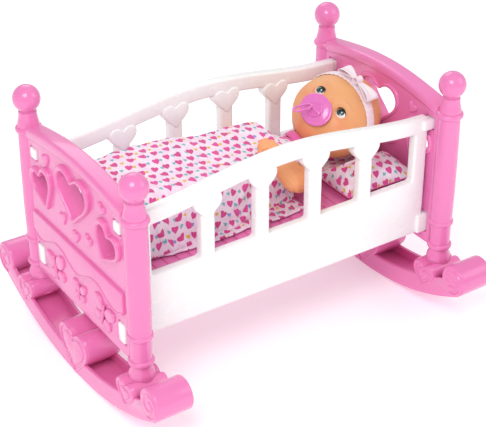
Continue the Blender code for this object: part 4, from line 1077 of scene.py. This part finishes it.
def head_surface(direction):
    """The skin's place, in metres from the head's centre, along a unit direction."""
    base = Vector((direction.x * HEAD_HALF.x, direction.y * HEAD_HALF.y, direction.z * HEAD_HALF.z))
    cheeks = math.exp(-((base.y + 22 * MM) / (20 * MM)) ** 2)
    if base.z > 0:
        base.x *= 1 + 0.035 * cheeks * min(1, base.z / (12 * MM))
    slope = Vector((base.x / HEAD_HALF.x ** 2, base.y / HEAD_HALF.y ** 2, base.z / HEAD_HALF.z ** 2))
    place = base / MM
    base += slope.normalized() * face_relief(*place) * MM
    if abs(place.x) > 40:
        base.x += math.copysign(ear_relief(place.y, place.z) * MM, base.x)
    return base


def make_head(matrix):
    bm = bmesh.new()
    bmesh.ops.create_icosphere(bm, subdivisions=7, radius=1)
    for vert in bm.verts:
        vert.co = head_surface(vert.co.normalized())
    doomed = [vert for vert in bm.verts if vert.co.y < 0 and math.hypot(vert.co.x, vert.co.z) < 15 * MM]
    bmesh.ops.delete(bm, geom=doomed, context="VERTS")
    head = link("head_fine", to_mesh(bm, "head_fine"))
    modify(head, "SOLIDIFY", thickness=HEAD_WALL, offset=-1)
    mouth = turned("mouth_cutter", [(0, 14 * MM), (MOUTH_HOLE_RADIUS, 14 * MM),
                                    (MOUTH_HOLE_RADIUS, -14 * MM), (0, -14 * MM)])
    mouth.data.transform(Matrix.Translation(MOUTH) @ Matrix.Rotation(MOUTH_TILT, 4, "X"))
    cut_away(head, [mouth])
    tint_face(head.data)
    head.data.transform(matrix)
    show(smooth(head, 60), "doll_head", FACE, "skin_vinyl", "head")


def tint_face(mesh):
    """Store, for each point of the face, how red it is (red paint on the cheeks, nose, lips and round
    the eyes, and painted shade under the chin) and how dark it is (painted shade above the eyes and in
    the nostrils).
    """
    rosy_and_shade, brow_and_nostril_shade = [0.0] * len(mesh.vertices), [0.0] * len(mesh.vertices)
    for index, vert in enumerate(mesh.vertices):
        x, y, z = vert.co / MM
        side = abs(x)
        if z < 0:
            continue
        blush_and_shade = bells(FACE_BLUSH, (side, y, z))
        # Painted shade: the whole underside of the chin is made redder.
        blush_and_shade += 0.8 * (1 - step_up(y, -54, -34))
        lips = 1 - step_up(math.hypot(side, y - MOUTH.y / MM), 8.5, 11)
        blush_and_shade += 0.9 * lips * step_up(z, 25, 35)
        blush_and_shade += 0.45 * math.exp(-((eye_reach(side, y) - 1.25) / 0.28) ** 2)
        rosy_and_shade[index] = min(1, blush_and_shade)
        # Painted shade: a faint dark arc above each eye, and dark dots in the nostrils.
        arch = EYE.y / MM + 15 - 0.035 * (side - 20) ** 2
        line = math.exp(-((y - arch) / 0.75) ** 2) * step_up(side, 12, 15) * (1 - step_up(side, 25, 30))
        nostril = bell((side, y), (2.3, -12.4), (1.0, 0.8))
        brow_and_nostril_shade[index] = min(1, 0.16 * line + 0.8 * nostril)
    point_values(mesh, "rosy_and_shade", rosy_and_shade)
    point_values(mesh, "brow_and_nostril_shade", brow_and_nostril_shade)


def on_face(x, y, proud):
    """Where (x, y), in millimetres, meets the plain head, in metres, standing proud of it."""
    depth = math.sqrt(1 - (x / 54) ** 2 - (y / 57.5) ** 2)
    return Vector((x, y, HEAD_HALF.z / MM * depth + proud)) * MM


def make_eye(name, side, matrix):
    bm = bmesh.new()
    bmesh.ops.create_uvsphere(bm, u_segments=64, v_segments=48, radius=EYE_RADIUS)
    eye = link(name + "_fine", to_mesh(bm, name))
    gaze = Vector((-0.12, 0.10, 1)).normalized()
    glint = (gaze + Vector((0.20, 0.02, 0))).normalized()
    ways = [vert.co.normalized() for vert in eye.data.vertices]
    point_values(eye.data, "ring", [way.angle(gaze) for way in ways])
    point_values(eye.data, "spark", [way.angle(glint) for way in ways])
    place = Matrix.Translation((side * EYE.x, EYE.y, EYE.z))
    eye.data.transform(matrix @ place)
    show(smooth(eye, 0), "doll_head", EYE_GLOSS, "eye_gloss", name)
    lash_line = []
    for angle in span(math.radians(12), math.radians(168), 18):
        x = side * EYE.x / MM + 6.5 * math.cos(angle)
        y = EYE.y / MM + 5.6 * math.sin(angle)
        lash_line.append(on_face(x, y, -0.3))
    radii = [0.35 * MM + 0.4 * MM * math.sin(math.pi * t) for t in span(0, 1, 18)]
    parts = [tube(name + "_lash", lash_line, radii, 8)]
    for turn in (18, 34, 50):
        angle = math.radians(turn if side > 0 else 180 - turn)
        root = Vector((side * EYE.x / MM + 6.4 * math.cos(angle), EYE.y / MM + 5.6 * math.sin(angle)))
        tip = Vector((side * EYE.x / MM + 9.3 * math.cos(angle), EYE.y / MM + 8.4 * math.sin(angle)))
        line = [on_face(*root.lerp(tip, t), 0.15) for t in span(0, 1, 4)]
        parts.append(tube("lash", line, [0.42 * MM, 0.4 * MM, 0.32 * MM, 0.22 * MM, 0.1 * MM], 6))
    lashes = merged(name + "_lashes", parts)
    lashes.data.transform(matrix)
    show(smooth(lashes, 0), "doll_head", LASH, "eye_gloss")


def band_point(across, angle, grow):
    """A place on the headband: across its width, round the head, and off the skin."""
    tilt = Matrix.Rotation(-BAND_TILT, 3, "X")
    start = Vector((0, BAND_OFFSET, 0)) + tilt @ Vector((0, across, 0))
    way = tilt @ Vector((math.sin(angle), 0, math.cos(angle)))
    half = HEAD_HALF + Vector((grow, grow, grow))
    a = sum((way[i] / half[i]) ** 2 for i in range(3))
    b = 2 * sum(start[i] * way[i] / half[i] ** 2 for i in range(3))
    c = sum((start[i] / half[i]) ** 2 for i in range(3)) - 1
    return start + way * (-b + math.sqrt(b * b - 4 * a * c)) / (2 * a)


def even_column(place, u, rows, fine=240):
    """Points down one column of a sheet, the same distance apart along the cloth."""
    points = [Vector(place(u, index / fine)) for index in range(fine + 1)]
    walked = [0.0]
    for first, second in zip(points, points[1:]):
        walked.append(walked[-1] + (second - first).length)
    made, index = [], 0
    for row in range(rows + 1):
        target = walked[-1] * row / rows
        while index < fine - 1 and walked[index + 1] < target:
            index += 1
        step = (target - walked[index]) / max(1e-9, walked[index + 1] - walked[index])
        made.append(points[index].lerp(points[index + 1], min(1, step)))
    return made


def mapped_faces(bm, grid, columns, rows, spot_uv):
    """Fill a grid of points with faces, and store each corner's place on the flat cloth."""
    layer = bm.loops.layers.uv.get("flat") or bm.loops.layers.uv.new("flat")
    for c in range(columns):
        for r in range(rows):
            corners = ((c, r), (c + 1, r), (c + 1, r + 1), (c, r + 1))
            face = bm.faces.new([grid[column % len(grid)][row] for column, row in corners])
            for loop, corner in zip(face.loops, corners):
                loop[layer].uv = spot_uv(*corner)


def cloth_grid(name, columns, rows, place, wrap=False, even=False):
    """A sheet from place(u, v), with a flat map in metres that follows the sheet."""
    bm = bmesh.new()
    grid, up = [], []
    for c in range(columns if wrap else columns + 1):
        u = c / columns
        spots = even_column(place, u, rows) if even else [place(u, r / rows) for r in range(rows + 1)]
        grid.append([bm.verts.new(spot) for spot in spots])
        steps = [(second.co - first.co).length for first, second in zip(grid[-1], grid[-1][1:])]
        middle = sum(steps[:rows // 2])
        up.append([sum(steps[:r]) - middle for r in range(rows + 1)])
    across = [0.0]
    for c in range(columns):
        step = grid[(c + 1) % len(grid)][rows // 2].co - grid[c][rows // 2].co
        across.append(across[-1] + step.length)
    mapped_faces(bm, grid, columns, rows, lambda c, r: (across[c], up[c % len(grid)][r]))
    return link(name, to_mesh(bm, name))


def thicken(piece, thickness, offset=0.0, levels=1):
    modify(piece, "SOLIDIFY", thickness=thickness, offset=offset)
    if levels:
        modify(piece, "SUBSURF", levels=levels, render_levels=levels)
    return bake(piece)


def show_ribbon(piece, matrix, node):
    piece.data.transform(matrix)
    show(smooth(piece, 0), "doll_head", SATIN, "white_fabric", node)


def make_headband(matrix):
    def place(u, v):
        angle = 2 * math.pi * u
        pucker = 0.35 * MM * math.sin(46 * angle) * (0.4 + 0.6 * abs(math.sin(3 * angle)))
        edge = 0.5 * MM * (1 - (2 * v - 1) ** 4)
        return band_point((v - 0.5) * BAND_WIDTH, angle, 0.45 * MM + edge + pucker)

    band = cloth_grid("headband_fine", 360, 8, place, wrap=True)
    thicken(band, 0.8 * MM, 1.0)
    show_ribbon(band, matrix, "headband")

    seat = matrix @ Matrix.Translation(BOW_PLACE) @ Matrix.Rotation(-BOW_TILT, 4, "X")
    for side, side_name in ((1, "left"), (-1, "right")):
        make_bow_loop(side, side_name, seat)

    def knot_place(u, v):
        turn, across = 2 * math.pi * u, 2 * v - 1
        pleat = 1 + 0.05 * math.sin(9 * turn)
        return ((3.6 + 0.9 * across ** 2) * MM * math.cos(turn) * pleat, across * 5.4 * MM,
                5.2 * MM + (3.9 + 0.7 * across ** 2) * MM * math.sin(turn))

    knot = cloth_grid("bow_knot_fine", 48, 10, knot_place, wrap=True)
    thicken(knot, 0.8 * MM)
    show_ribbon(knot, seat, "bow_knot")


def make_bow_loop(side, side_name, seat):
    """A ribbon that runs out from the knot and back again, wider at its far end."""
    length = BOW_LENGTHS[side_name]

    def place(u, v):
        turn = 2 * math.pi * u
        out = (1 - math.cos(turn)) / 2
        reach = 4.4 * MM + length * out ** 0.8
        width = (3.8 + 6.2 * out ** 0.7) * MM
        lift = 4.6 * MM + 3.8 * MM * math.sin(turn) * (0.35 + 0.65 * out)
        fold = 0.9 * MM * math.sin(3 * math.pi * v) * (1 - out) + 0.5 * MM * math.sin(5 * v + 4 * out)
        droop = -3.2 * MM * out ** 2
        return (side * reach, (2 * v - 1) * width, lift + fold + droop)

    loop = cloth_grid(f"bow_loop_{side_name}_fine", 56, 12, place, wrap=True)
    thicken(loop, 0.7 * MM)
    show_ribbon(loop, seat, f"bow_loop_{side_name}")


def make_pacifier(matrix):
    seat = matrix @ Matrix.Translation(MOUTH) @ Matrix.Rotation(MOUTH_TILT, 4, "X")
    front_seat = matrix @ Matrix.Translation(MOUTH + SHIELD_SHIFT) @ Matrix.Rotation(MOUTH_TILT, 4, "X")
    front = [(0, 7.9), (6, 7.8), (11, 7.4), (15, 6.6), (17.6, 6.1), (18.9, 6.3), (19.8, 5.9),
             (20.1, 5.1), (19.8, 4.3), (19, 4.0)]
    back = [(15, 4.4), (8, 5.2), (0, 5.5)]
    shield = turned("pacifier_shield_fine", in_metres(front + back), steps=72)
    shield.data.transform(Matrix.Diagonal(SHIELD_OVAL))
    knob_rows = [(0, 9.4), (7.6, 9.4), (8.6, 10.1), (9.6, 9.9), (10.2, 9.0), (10.4, 8.0), (10.4, 7.4),
                 (0, 7.4)]
    knob = turned("pacifier_knob_fine", in_metres(knob_rows), steps=64)
    rib = block("rib", (-11 * MM, 11 * MM), (-1.7 * MM, 1.7 * MM), (7.6 * MM, 12.6 * MM), 1.2 * MM, 3)
    knob = fused("pacifier_knob_fine", [knob, rib])
    teat_rows = [(0, 5.3), (3.4, 5.3), (3.3, 1), (3.5, -2), (4.6, -5), (5.3, -8), (5.4, -10.5),
                 (4.5, -13), (2.6, -14.1), (0, -14.4)]
    teat = turned("pacifier_teat_fine", in_metres(teat_rows), steps=48)
    for piece, material, slot, node in (
            (shield, PACIFIER, "pacifier_plastic", "pacifier_shield"),
            (knob, PACIFIER, "pacifier_plastic", "pacifier_knob"),
            (teat, TEAT, "teat_rubber", "pacifier_teat")):
        piece.data.transform(seat if piece is teat else front_seat)
        show(smooth(piece, 50), "pacifier", material, slot, node)
    hinge = front_seat @ Matrix.Translation((RING_X, 0, 11.3 * MM)) @ Matrix.Rotation(RING_TILT, 4, "X")
    ring_points = []
    for turn in full_turn(48):
        across, up = math.sin(turn), -math.cos(turn)
        ring_points.append(Vector((RING_HALF_WIDTH * signed_power(across, 0.7), 0,
                                   RING_HALF_HEIGHT * (1 + signed_power(up, 0.8)))))
    ring = tube("pacifier_ring_fine", ring_points, RING_WIRE, 14, closed=True)
    ring.data.transform(hinge)
    show(smooth(ring, 0), "pacifier_handle", PACIFIER, "pacifier_plastic", "pacifier_ring")
    paint("mouth_socket", BODY_PLASTIC)
    paint("mouth_plunger", BLACK)


# ---------------------------------------------------------------- doll's body

def smooth_route(controls, samples=8):
    """Catmull-Rom curve through (x, y, z, radius) controls."""
    points = [Vector(control) for control in controls]
    points = [2 * points[0] - points[1]] + points + [2 * points[-1] - points[-2]]
    route = []
    for index in range(1, len(points) - 2):
        before, start, end, after = points[index - 1:index + 3]
        for step in range(samples):
            t = step / samples
            route.append(0.5 * (2 * start + (end - before) * t
                                + (2 * before - 5 * start + 4 * end - after) * t ** 2
                                + (3 * start - 3 * end + after - before) * t ** 3))
    route.append(points[-2])
    return route


def organic(name, blobs):
    """Soft flesh: overlapping balls, (x, y, z, radius) in millimetres, skinned and smoothed."""
    bm = bmesh.new()
    for x, y, z, radius in blobs:
        bmesh.ops.create_icosphere(bm, subdivisions=2, radius=radius * MM,
                                   matrix=Matrix.Translation(Vector((x, y, z)) * MM))
    piece = link(name, to_mesh(bm, name))
    modify(piece, "REMESH", mode="VOXEL", voxel_size=SKIN_VOXEL)
    modify(piece, "SMOOTH", factor=0.5, iterations=SKIN_SOFTENING)
    return bake(piece)


def finger(start, end, knuckle, thick, thin):
    """Balls along a finger that bends over its knuckle."""
    made = []
    for t in span(0, 1, 9):
        spot = (1 - t) ** 2 * Vector(start) + 2 * t * (1 - t) * Vector(knuckle) + t ** 2 * Vector(end)
        made.append((*spot, thick + (thin - thick) * t))
    return made


def hand(palm, fingers_way, fan_way, up, thumb_side, curl):
    """A chubby hand: palm, four fingers and a thumb, in millimetres."""
    palm, way, fan, up = Vector(palm), Vector(fingers_way), Vector(fan_way), Vector(up)
    blobs = []
    for across in (-4.6, 0, 4.6):
        for along in (-4, 0, 4):
            blobs.append((*(palm + fan * across + way * along), 6.2))
    for index, across in enumerate((-8.7, -2.9, 2.9, 8.6)):
        size = (2.5, 2.8, 2.8, 2.6)[index]
        root = palm + fan * across + way + up * 4.4
        knuckle = root + way * (12.5 - abs(across) * 0.15) + up * 1.6
        tip = root + way * (15.5 - 5 * curl - abs(across) * 0.2) - up * (9.5 * curl + 1)
        blobs += finger(root, tip, knuckle, size, size - 0.5)
    root = palm + fan * thumb_side * 7 - way * 3
    knuckle = root + fan * thumb_side * 5 + way * 3
    blobs += finger(root, root + fan * thumb_side * 4.5 + way * 10 - up * 2, knuckle, 3.9, 3.2)
    return blobs


def make_limb(name, body, joint, blobs):
    """A vinyl limb from balls in millimetres about its joint."""
    root = joint / MM
    limb = organic(name + "_fine", [(root.x + x, root.y + y, root.z + z, r) for x, y, z, r in blobs])
    show(smooth(limb, 0), body, SKIN, "skin_vinyl", name)


def make_arms():
    near = ((6, 0, -1, 11), (0, -1, 1, 14.5), (-18, -10, 10, 16.5), (-33, -17, 19, 17),
            (-42, -14, 32, 15), (-46, -5, 43, 11.5), (-47.5, 4, 49.5, 9.6), (-48, 9, 52, 9.4))
    far = ((6, 0, 0, 11), (0, 1, 0, 14.5), (-22, 9.5, 2, 15.5), (-40, 11, 0, 14.5), (-58, 12, -1, 12.5),
           (-72, 12, -1, 10), (-78, 12, -1, 9.4))
    near_hand = hand((-49.5, 14.5, 52.5), (-0.83, 0.53, -0.12), (0.53, 0.84, 0.05), (-0.1, 0.05, 1),
                     1, 0.9)
    far_hand = hand((-83, 12, -1), (-1, 0, 0), (0, 1, 0.1), (0, -0.1, 1), -1, 0.35)
    for name, side, route, fingers in (("left", -1, near, near_hand), ("right", 1, far, far_hand)):
        shoulder = Vector((SHOULDER_X, TORSO_CENTRE.y + side * SHOULDER_OFFSET_Y, TORSO_CENTRE.z))
        blobs = [tuple(spot) for spot in smooth_route(route)] + fingers
        for along in span(0, 28, 14):
            blobs.append((0, -side * along, 0, 7))
        make_limb(f"arm_{name}", f"{name}_arm", shoulder, blobs)


def make_legs():
    route = ((8, 0, 0, 14), (0, 0, 0, 17), (-22, 0, -2, 17), (-48, 0, -3.5, 15.2), (-72, 0, -4.5, 14),
             (-94, 0, -6, 12), (-108, 0, -6.5, 12.2), (-113, 0, 4, 11.6), (-115, 0, 16, 10.4),
             (-116, 0, 22, 8.5))
    for name, side in (("left", -1), ("right", 1)):
        hip = Vector((HIP.x, TORSO_CENTRE.y + side * HIP.y, HIP.z))
        blobs = [tuple(spot) for spot in smooth_route(route)]
        for index, across in enumerate((-7, -3.6, -0.4, 2.8, 6.4)):
            size = (4.2, 3.1, 2.9, 2.7, 2.5)[index]
            blobs.append((-116.5, -side * across, 28.5 - 0.5 * index, size))
            blobs.append((-116, -side * across, 25 - 0.5 * index, size + 0.6))
        make_limb(f"leg_{name}", f"{name}_leg", hip, blobs)


def paint_inside():
    """The CAD pieces that stay, hidden in the body or on its back."""
    for node, material in (("torso_front", SKIN), ("torso_back", SKIN), ("neck_plug", SKIN),
                           ("battery_door", SKIN), ("battery_box", BODY_PLASTIC), ("hip_pin", STEEL),
                           ("battery_door_screw", STEEL), ("circuit_board", BOARD), ("speaker", BLACK),
                           ("power_switch", BLACK), ("belly_button", BUTTON)):
        paint(node, material)
    for index in range(3):
        paint(f"battery_{index + 1}", BATTERY)


# ---------------------------------------------------------------- dress and bedding

def torso_level(place):
    """Below 1 inside the dress's plain shape, above 1 outside; place is from the torso's centre."""
    half = TORSO_HALF + Vector((1, 1, 1)) * 2 * MM
    return sum(abs(place[i] / half[i]) ** (2 / TORSO_SQUARENESS) for i in range(3))


def neck_frame():
    """Origin on the neck, Z along it towards the crown."""
    turn = head_matrix().to_3x3()
    up = turn @ Vector((0, 1, 0))
    pivot = HEAD_CENTRE - up * NECK_LENGTH
    return Matrix.Translation(pivot) @ up.to_track_quat("Z", "Y").to_matrix().to_4x4()


def signed_power(value, power):
    return math.copysign(abs(value) ** power, value)


def make_dress():
    half = TORSO_HALF + Vector((1, 1, 1)) * 1.6 * MM
    start = math.radians(-68)

    def place(u, v):
        around = 2 * math.pi * u
        latitude = start + (math.pi / 2 - start) * v * 0.995
        ring = math.cos(latitude) ** TORSO_SQUARENESS
        spot = Vector((signed_power(math.sin(latitude), TORSO_SQUARENESS) * half.x,
                       ring * signed_power(math.cos(around), TORSO_SQUARENESS) * half.y,
                       ring * signed_power(math.sin(around), TORSO_SQUARENESS) * half.z))
        loose = 1 - step_up(v, 0.1, 0.75)
        fold = 0.9 * MM * loose * math.sin(15 * around + 2 * math.sin(3 * around)) * ring
        crease = 0.7 * MM * abs(noise.noise(spot * 60))
        out = Vector((0, spot.y, spot.z)).normalized()
        spot += out * (0.3 * MM + max(0, fold) + crease)
        spot.z = max(spot.z, -(TORSO_BACK + 0.8 * MM))
        return TORSO_CENTRE + spot

    dress = cloth_grid("dress_fine", 168, 84, place, wrap=True)
    thicken(dress, 1.2 * MM, 1.0, 0)
    shoulder = Matrix.Translation((SHOULDER_X, TORSO_CENTRE.y, TORSO_CENTRE.z))
    cuts = []
    for side in (-1, 1):
        armhole = turned("armhole", [(0, 70 * MM), (ARMHOLE, 70 * MM), (ARMHOLE, 0), (0, 0)])
        armhole.data.transform(shoulder @ Matrix.Rotation(-side * math.pi / 2, 4, "X"))
        cuts.append(armhole)
    neckline = turned("neckline", [(0, 60 * MM), (NECKLINE, 60 * MM), (NECKLINE, -40 * MM),
                                   (0, -40 * MM)])
    neckline.data.transform(neck_frame())
    cuts.append(neckline)
    cut_away(dress, cuts)
    show(smooth(dress, 50), "doll", PRINT, "print_fabric", "dress")

    trims = [tube("collar", neckline_points(NECKLINE + 1.5 * MM), COLLAR_RADIUS, 16, closed=True)]
    for side in (-1, 1):
        hem = armhole_points(side, ARMHOLE + 0.5 * MM)
        trims.append(tube("arm_trim", hem, 1.2 * MM, 12, closed=True))
    round_neck = [(STAND_RADIUS * math.cos(turn), STAND_RADIUS * math.sin(turn), 0)
                  for turn in full_turn(64)]
    stand = tube("stand_collar", round_neck, STAND_THICKNESS, 16, closed=True)
    stand.data.transform(neck_frame() @ Matrix.Translation((0, 0, STAND_DROP))
                         @ Matrix.Diagonal((1, 1, STAND_STRETCH, 1)))
    trims.append(stand)
    collar = merged("dress_trim", trims)
    show(smooth(collar, 0), "doll", TRIM, "print_fabric")


def on_torso(start, way):
    """Where a line from inside the dress comes out through it."""
    low, high = 0.0, 90 * MM
    for _ in range(30):
        middle = (low + high) / 2
        if torso_level(start + way * middle - TORSO_CENTRE) < 1:
            low = middle
        else:
            high = middle
    return start + way * low


def neckline_points(radius):
    frame_of_neck = neck_frame()
    way = (frame_of_neck.to_3x3() @ Vector((0, 0, 1))).normalized()
    points = []
    for turn in full_turn(48):
        start = frame_of_neck @ Vector((radius * math.cos(turn), radius * math.sin(turn), -44 * MM))
        points.append(on_torso(start, way))
    return points


def armhole_points(side, radius):
    points = []
    for turn in full_turn(48):
        start = Vector((SHOULDER_X + radius * math.cos(turn), TORSO_CENTRE.y,
                        TORSO_CENTRE.z + radius * math.sin(turn)))
        if torso_level(start - TORSO_CENTRE) < 1:
            points.append(on_torso(start, Vector((0, side, 0))))
    return points


def share(value, low, high):
    """How far a value has got from one limit to the other, from 0 to 1."""
    return max(0.0, min(1.0, (value - low) / (high - low)))


def blanket_height(x, y):
    """Height of the blanket's underside: a soft hump over the doll, flat on the bed beside it."""
    bed = BED_TOP_Z + 0.6 * MM
    along = (x - BLANKET_X[0]) / (BLANKET_X[1] - BLANKET_X[0])
    far_side = share(y, *FAR_SIDE_Y)
    rise = CROWN_FAR_RISE * along * (1 - along) * far_side
    rise += CHEST_FOLD * step_up(x, -30 * MM, 40 * MM) * far_side
    crown = CROWN_Z - CROWN_DROP * along ** 2 + rise
    crown = bed + (crown - bed) * math.sin(share(x, *TOES_X) * math.pi / 2)
    past_hand = PAST_HAND_X[0] if y < TORSO_CENTRE.y else PAST_HAND_X[1]
    loose = share(past_hand - x, 0, LOOSENING)
    flat = HUMP_FLAT[0] + (HUMP_FLAT[1] - HUMP_FLAT[0]) * loose
    foot = HUMP_FOOT[0] + (HUMP_FOOT[1] - HUMP_FOOT[0]) * loose
    fall = share(abs(y - TORSO_CENTRE.y), flat, foot)
    return bed + (crown - bed) * (1 + math.cos(math.pi * fall)) / 2


def blanket_place(u, v):
    """A place on the blanket before it settles: u from the foot end, v from the near side."""
    x = BLANKET_X[0] + (BLANKET_X[1] - BLANKET_X[0]) * u
    corner = 1 - step_up(u, 0.08, 0.34)
    near = BLANKET_Y[0] + (4 + 1.4 * math.sin(19 * u + 1) + 9 * corner) * MM
    far = BLANKET_Y[1] - 2 * MM * (1 + math.sin(23 * u))
    y = near + (far - near) * v
    slope = 1 * MM
    across = (blanket_height(x, y + slope) - blanket_height(x, y - slope)) / (2 * slope)
    along = (blanket_height(x + slope, y) - blanket_height(x - slope, y)) / (2 * slope)
    out = Vector((-along, -across, 1)).normalized()
    steep = min(1, abs(across))
    ripple = 2.4 * MM * steep * math.sin(x / (6.4 * MM) + 1.6 * math.sin(x / (21 * MM)))
    puff = 2.6 * MM * noise.noise(Vector((x * 26, y * 34, 0.4)))
    crease = 1.1 * MM * (0.5 - abs(noise.noise(Vector((x * 55 + y * 20, y * 60, 2.0)))) * 2)
    edge = min(u * 246, (1 - u) * 246, v * 190, (1 - v) * 190) * MM
    stitch = -0.7 * MM * math.exp(-((edge - 5.5 * MM) / (1.3 * MM)) ** 2)
    base = Vector((x, y, blanket_height(x, y)))
    return base + out * (2.0 * MM + max(-1.5 * MM, ripple + puff + crease) + stitch)


def make_blanket():
    blanket = cloth_grid("blanket_fine", 144, 116, blanket_place, even=True)
    settle(blanket, body_collider())
    blanket.vertex_groups.clear()
    thicken(blanket, BLANKET_THICKNESS - 0.2 * MM, 1.0)
    show(smooth(blanket, 0), "doll", PRINT, "print_fabric", "blanket")


def body_collider():
    """The doll's body and the bed below the blanket, as one surface to settle on."""
    def place(u, v):
        x = (BLANKET_X[0] - 8 * MM) + (BLANKET_X[1] - BLANKET_X[0] + 16 * MM) * u
        y = -90 * MM + 178 * MM * v
        return (x, y, blanket_height(x, y) - 0.5 * MM)
    return cloth_grid("body_collider", 110, 90, place)


def make_cloth(piece, shrink, **settings):
    """Make a piece Blender's cloth, which grows evenly when its shrink is negative."""
    cloth = modify(piece, "CLOTH")
    for name, value in settings.items():
        setattr(cloth.settings, name, value)
    cloth.settings.shrink_min = cloth.settings.shrink_max = shrink
    return cloth


def simulate(piece, cloth, frames):
    """Run a piece's cloth for some frames, then keep its shape."""
    cloth.point_cache.frame_start, cloth.point_cache.frame_end = 1, frames
    for frame_number in range(1, frames + 1):
        bpy.context.scene.frame_set(frame_number)
    bake(piece)
    bpy.context.scene.frame_set(1)


def settle(piece, collider):
    """Let a sheet of cloth fall and wrinkle over its collider, then keep the result."""
    modify(collider, "COLLISION")
    collider.collision.thickness_outer = 0.6 * MM
    collider.collision.cloth_friction = 20
    cloth = make_cloth(piece, -0.025, quality=7, mass=0.12, tension_stiffness=25,
                       compression_stiffness=20, shear_stiffness=8, bending_stiffness=0.25,
                       tension_damping=12)
    cloth.collision_settings.distance_min = 0.6 * MM
    cloth.collision_settings.collision_quality = 3
    simulate(piece, cloth, BLANKET_FRAMES)
    bpy.data.objects.remove(collider)


def pillow_place(u, v, top):
    """A slack cushion with pointed corners: u and v run from -1 to 1."""
    across = 1 - 0.07 * (1 - v * v) * abs(u) ** 3
    along = 1 - 0.05 * (1 - u * u) * abs(v) ** 3
    x = PILLOW_CENTRE.x + PILLOW_HALF.x * u * across
    y = PILLOW_CENTRE.y + PILLOW_HALF.y * v * along
    full = ((1 - abs(u) ** 3.2) * (1 - abs(v) ** 4.5)) ** 0.55
    lift = PILLOW_POINT * (abs(u) * abs(v)) ** 3
    wrinkle = 1.0 * MM * noise.noise(Vector((x * 40, y * 40, 5))) * full
    z = PILLOW_SEAM_Z + lift
    if top:
        z += 26.5 * MM * full + wrinkle
        reach = abs(y - HEAD_CENTRE.y)
        if reach < PILLOW_DENT:
            z = min(z, HEAD_CENTRE.z - math.sqrt(PILLOW_DENT ** 2 - reach ** 2))
    else:
        z -= 8 * MM * full
    return (x, y, max(z, BED_TOP_Z + 0.5 * MM))


def seam_height(place):
    """Where the pillow's printed top meets its pink back."""
    u = min(1, abs(place.x - PILLOW_CENTRE.x) / PILLOW_HALF.x)
    v = min(1, abs(place.y - PILLOW_CENTRE.y) / PILLOW_HALF.y)
    return PILLOW_SEAM_Z - 0.4 * MM + PILLOW_POINT * (u * v) ** 3


def flat_map(grid):
    """For each point of a sheet, its distances over the cloth from the middle row and column."""
    columns, rows = len(grid), len(grid[0])
    middle_column, middle_row = columns // 2, rows // 2
    across = {(middle_column, r): 0.0 for r in range(rows)}
    up = {(c, middle_row): 0.0 for c in range(columns)}
    for way in (1, -1):
        for r in range(rows):
            for c in range(middle_column + way, columns if way > 0 else -1, way):
                step = (grid[c][r].co - grid[c - way][r].co).length
                across[c, r] = across[c - way, r] + way * step
        for c in range(columns):
            for r in range(middle_row + way, rows if way > 0 else -1, way):
                step = (grid[c][r].co - grid[c][r - way].co).length
                up[c, r] = up[c, r - way] + way * step
    return {spot: (across[spot], up[spot]) for spot in across}


def make_pillow():
    bm = bmesh.new()
    columns, rows = 72, 120
    sheets = []
    for top in (True, False):
        sheets.append([[bm.verts.new(pillow_place(2 * c / columns - 1, 2 * r / rows - 1, top))
                        for r in range(rows + 1)] for c in range(columns + 1)])
    for grid in sheets:
        places = flat_map(grid)
        mapped_faces(bm, grid, columns, rows, lambda c, r: places[c, r])
    bmesh.ops.remove_doubles(bm, verts=bm.verts, dist=0.05 * MM)
    bmesh.ops.recalc_face_normals(bm, faces=bm.faces)
    pillow = link("pillow_fine", to_mesh(bm, "pillow"))
    inflate(pillow)
    modify(pillow, "SUBSURF", levels=1, render_levels=1)
    bake(pillow)
    point_values(pillow.data, "under", [1.0 if vert.co.z < seam_height(vert.co) else 0.0
                                        for vert in pillow.data.vertices])
    show(smooth(pillow, 0), "cradle", PILLOW_PRINT, "print_fabric", "pillow")
    rim = []
    corners = ((-1, -1), (1, -1), (1, 1), (-1, 1))
    for start, end in zip(corners, corners[1:] + corners[:1]):
        for t in span(0, 1, 30)[:-1]:
            u, v = (a + (b - a) * t for a, b in zip(start, end))
            rim.append(Vector(pillow_place(u, v, False)))
    piping = tube("pillow_piping", rim, 0.9 * MM, 8, closed=True)
    show(smooth(piping, 0), "cradle", TRIM, "print_fabric")


def inflate(pillow):
    """Puff a closed cushion up a little so that its cover wrinkles."""
    pins = pillow.vertex_groups.new(name="pins")
    rim = [vert.index for vert in pillow.data.vertices
           if vert.co.z <= BED_TOP_Z + 1 * MM or abs(vert.co.y - HEAD_CENTRE.y) < 42 * MM]
    pins.add(rim, 1.0, "REPLACE")
    cloth = make_cloth(pillow, -0.02, quality=6, vertex_group_mass="pins", use_pressure=True,
                       uniform_pressure_force=1.2, bending_stiffness=0.4)
    cloth.settings.effector_weights.gravity = 0
    simulate(pillow, cloth, PILLOW_FRAMES)
    pillow.vertex_groups.clear()
    for vert in pillow.data.vertices:
        vert.co.z = max(vert.co.z, BED_TOP_Z + 0.4 * MM)


def main():
    make_stage()
    make_cradle()
    matrix = head_matrix()
    make_head(matrix)
    for side, side_name in ((1, "left"), (-1, "right")):
        make_eye(f"eye_{side_name}", side, matrix)
    make_headband(matrix)
    make_pacifier(matrix)
    make_arms()
    make_legs()
    make_dress()
    make_blanket()
    make_pillow()
    paint_inside()


main()
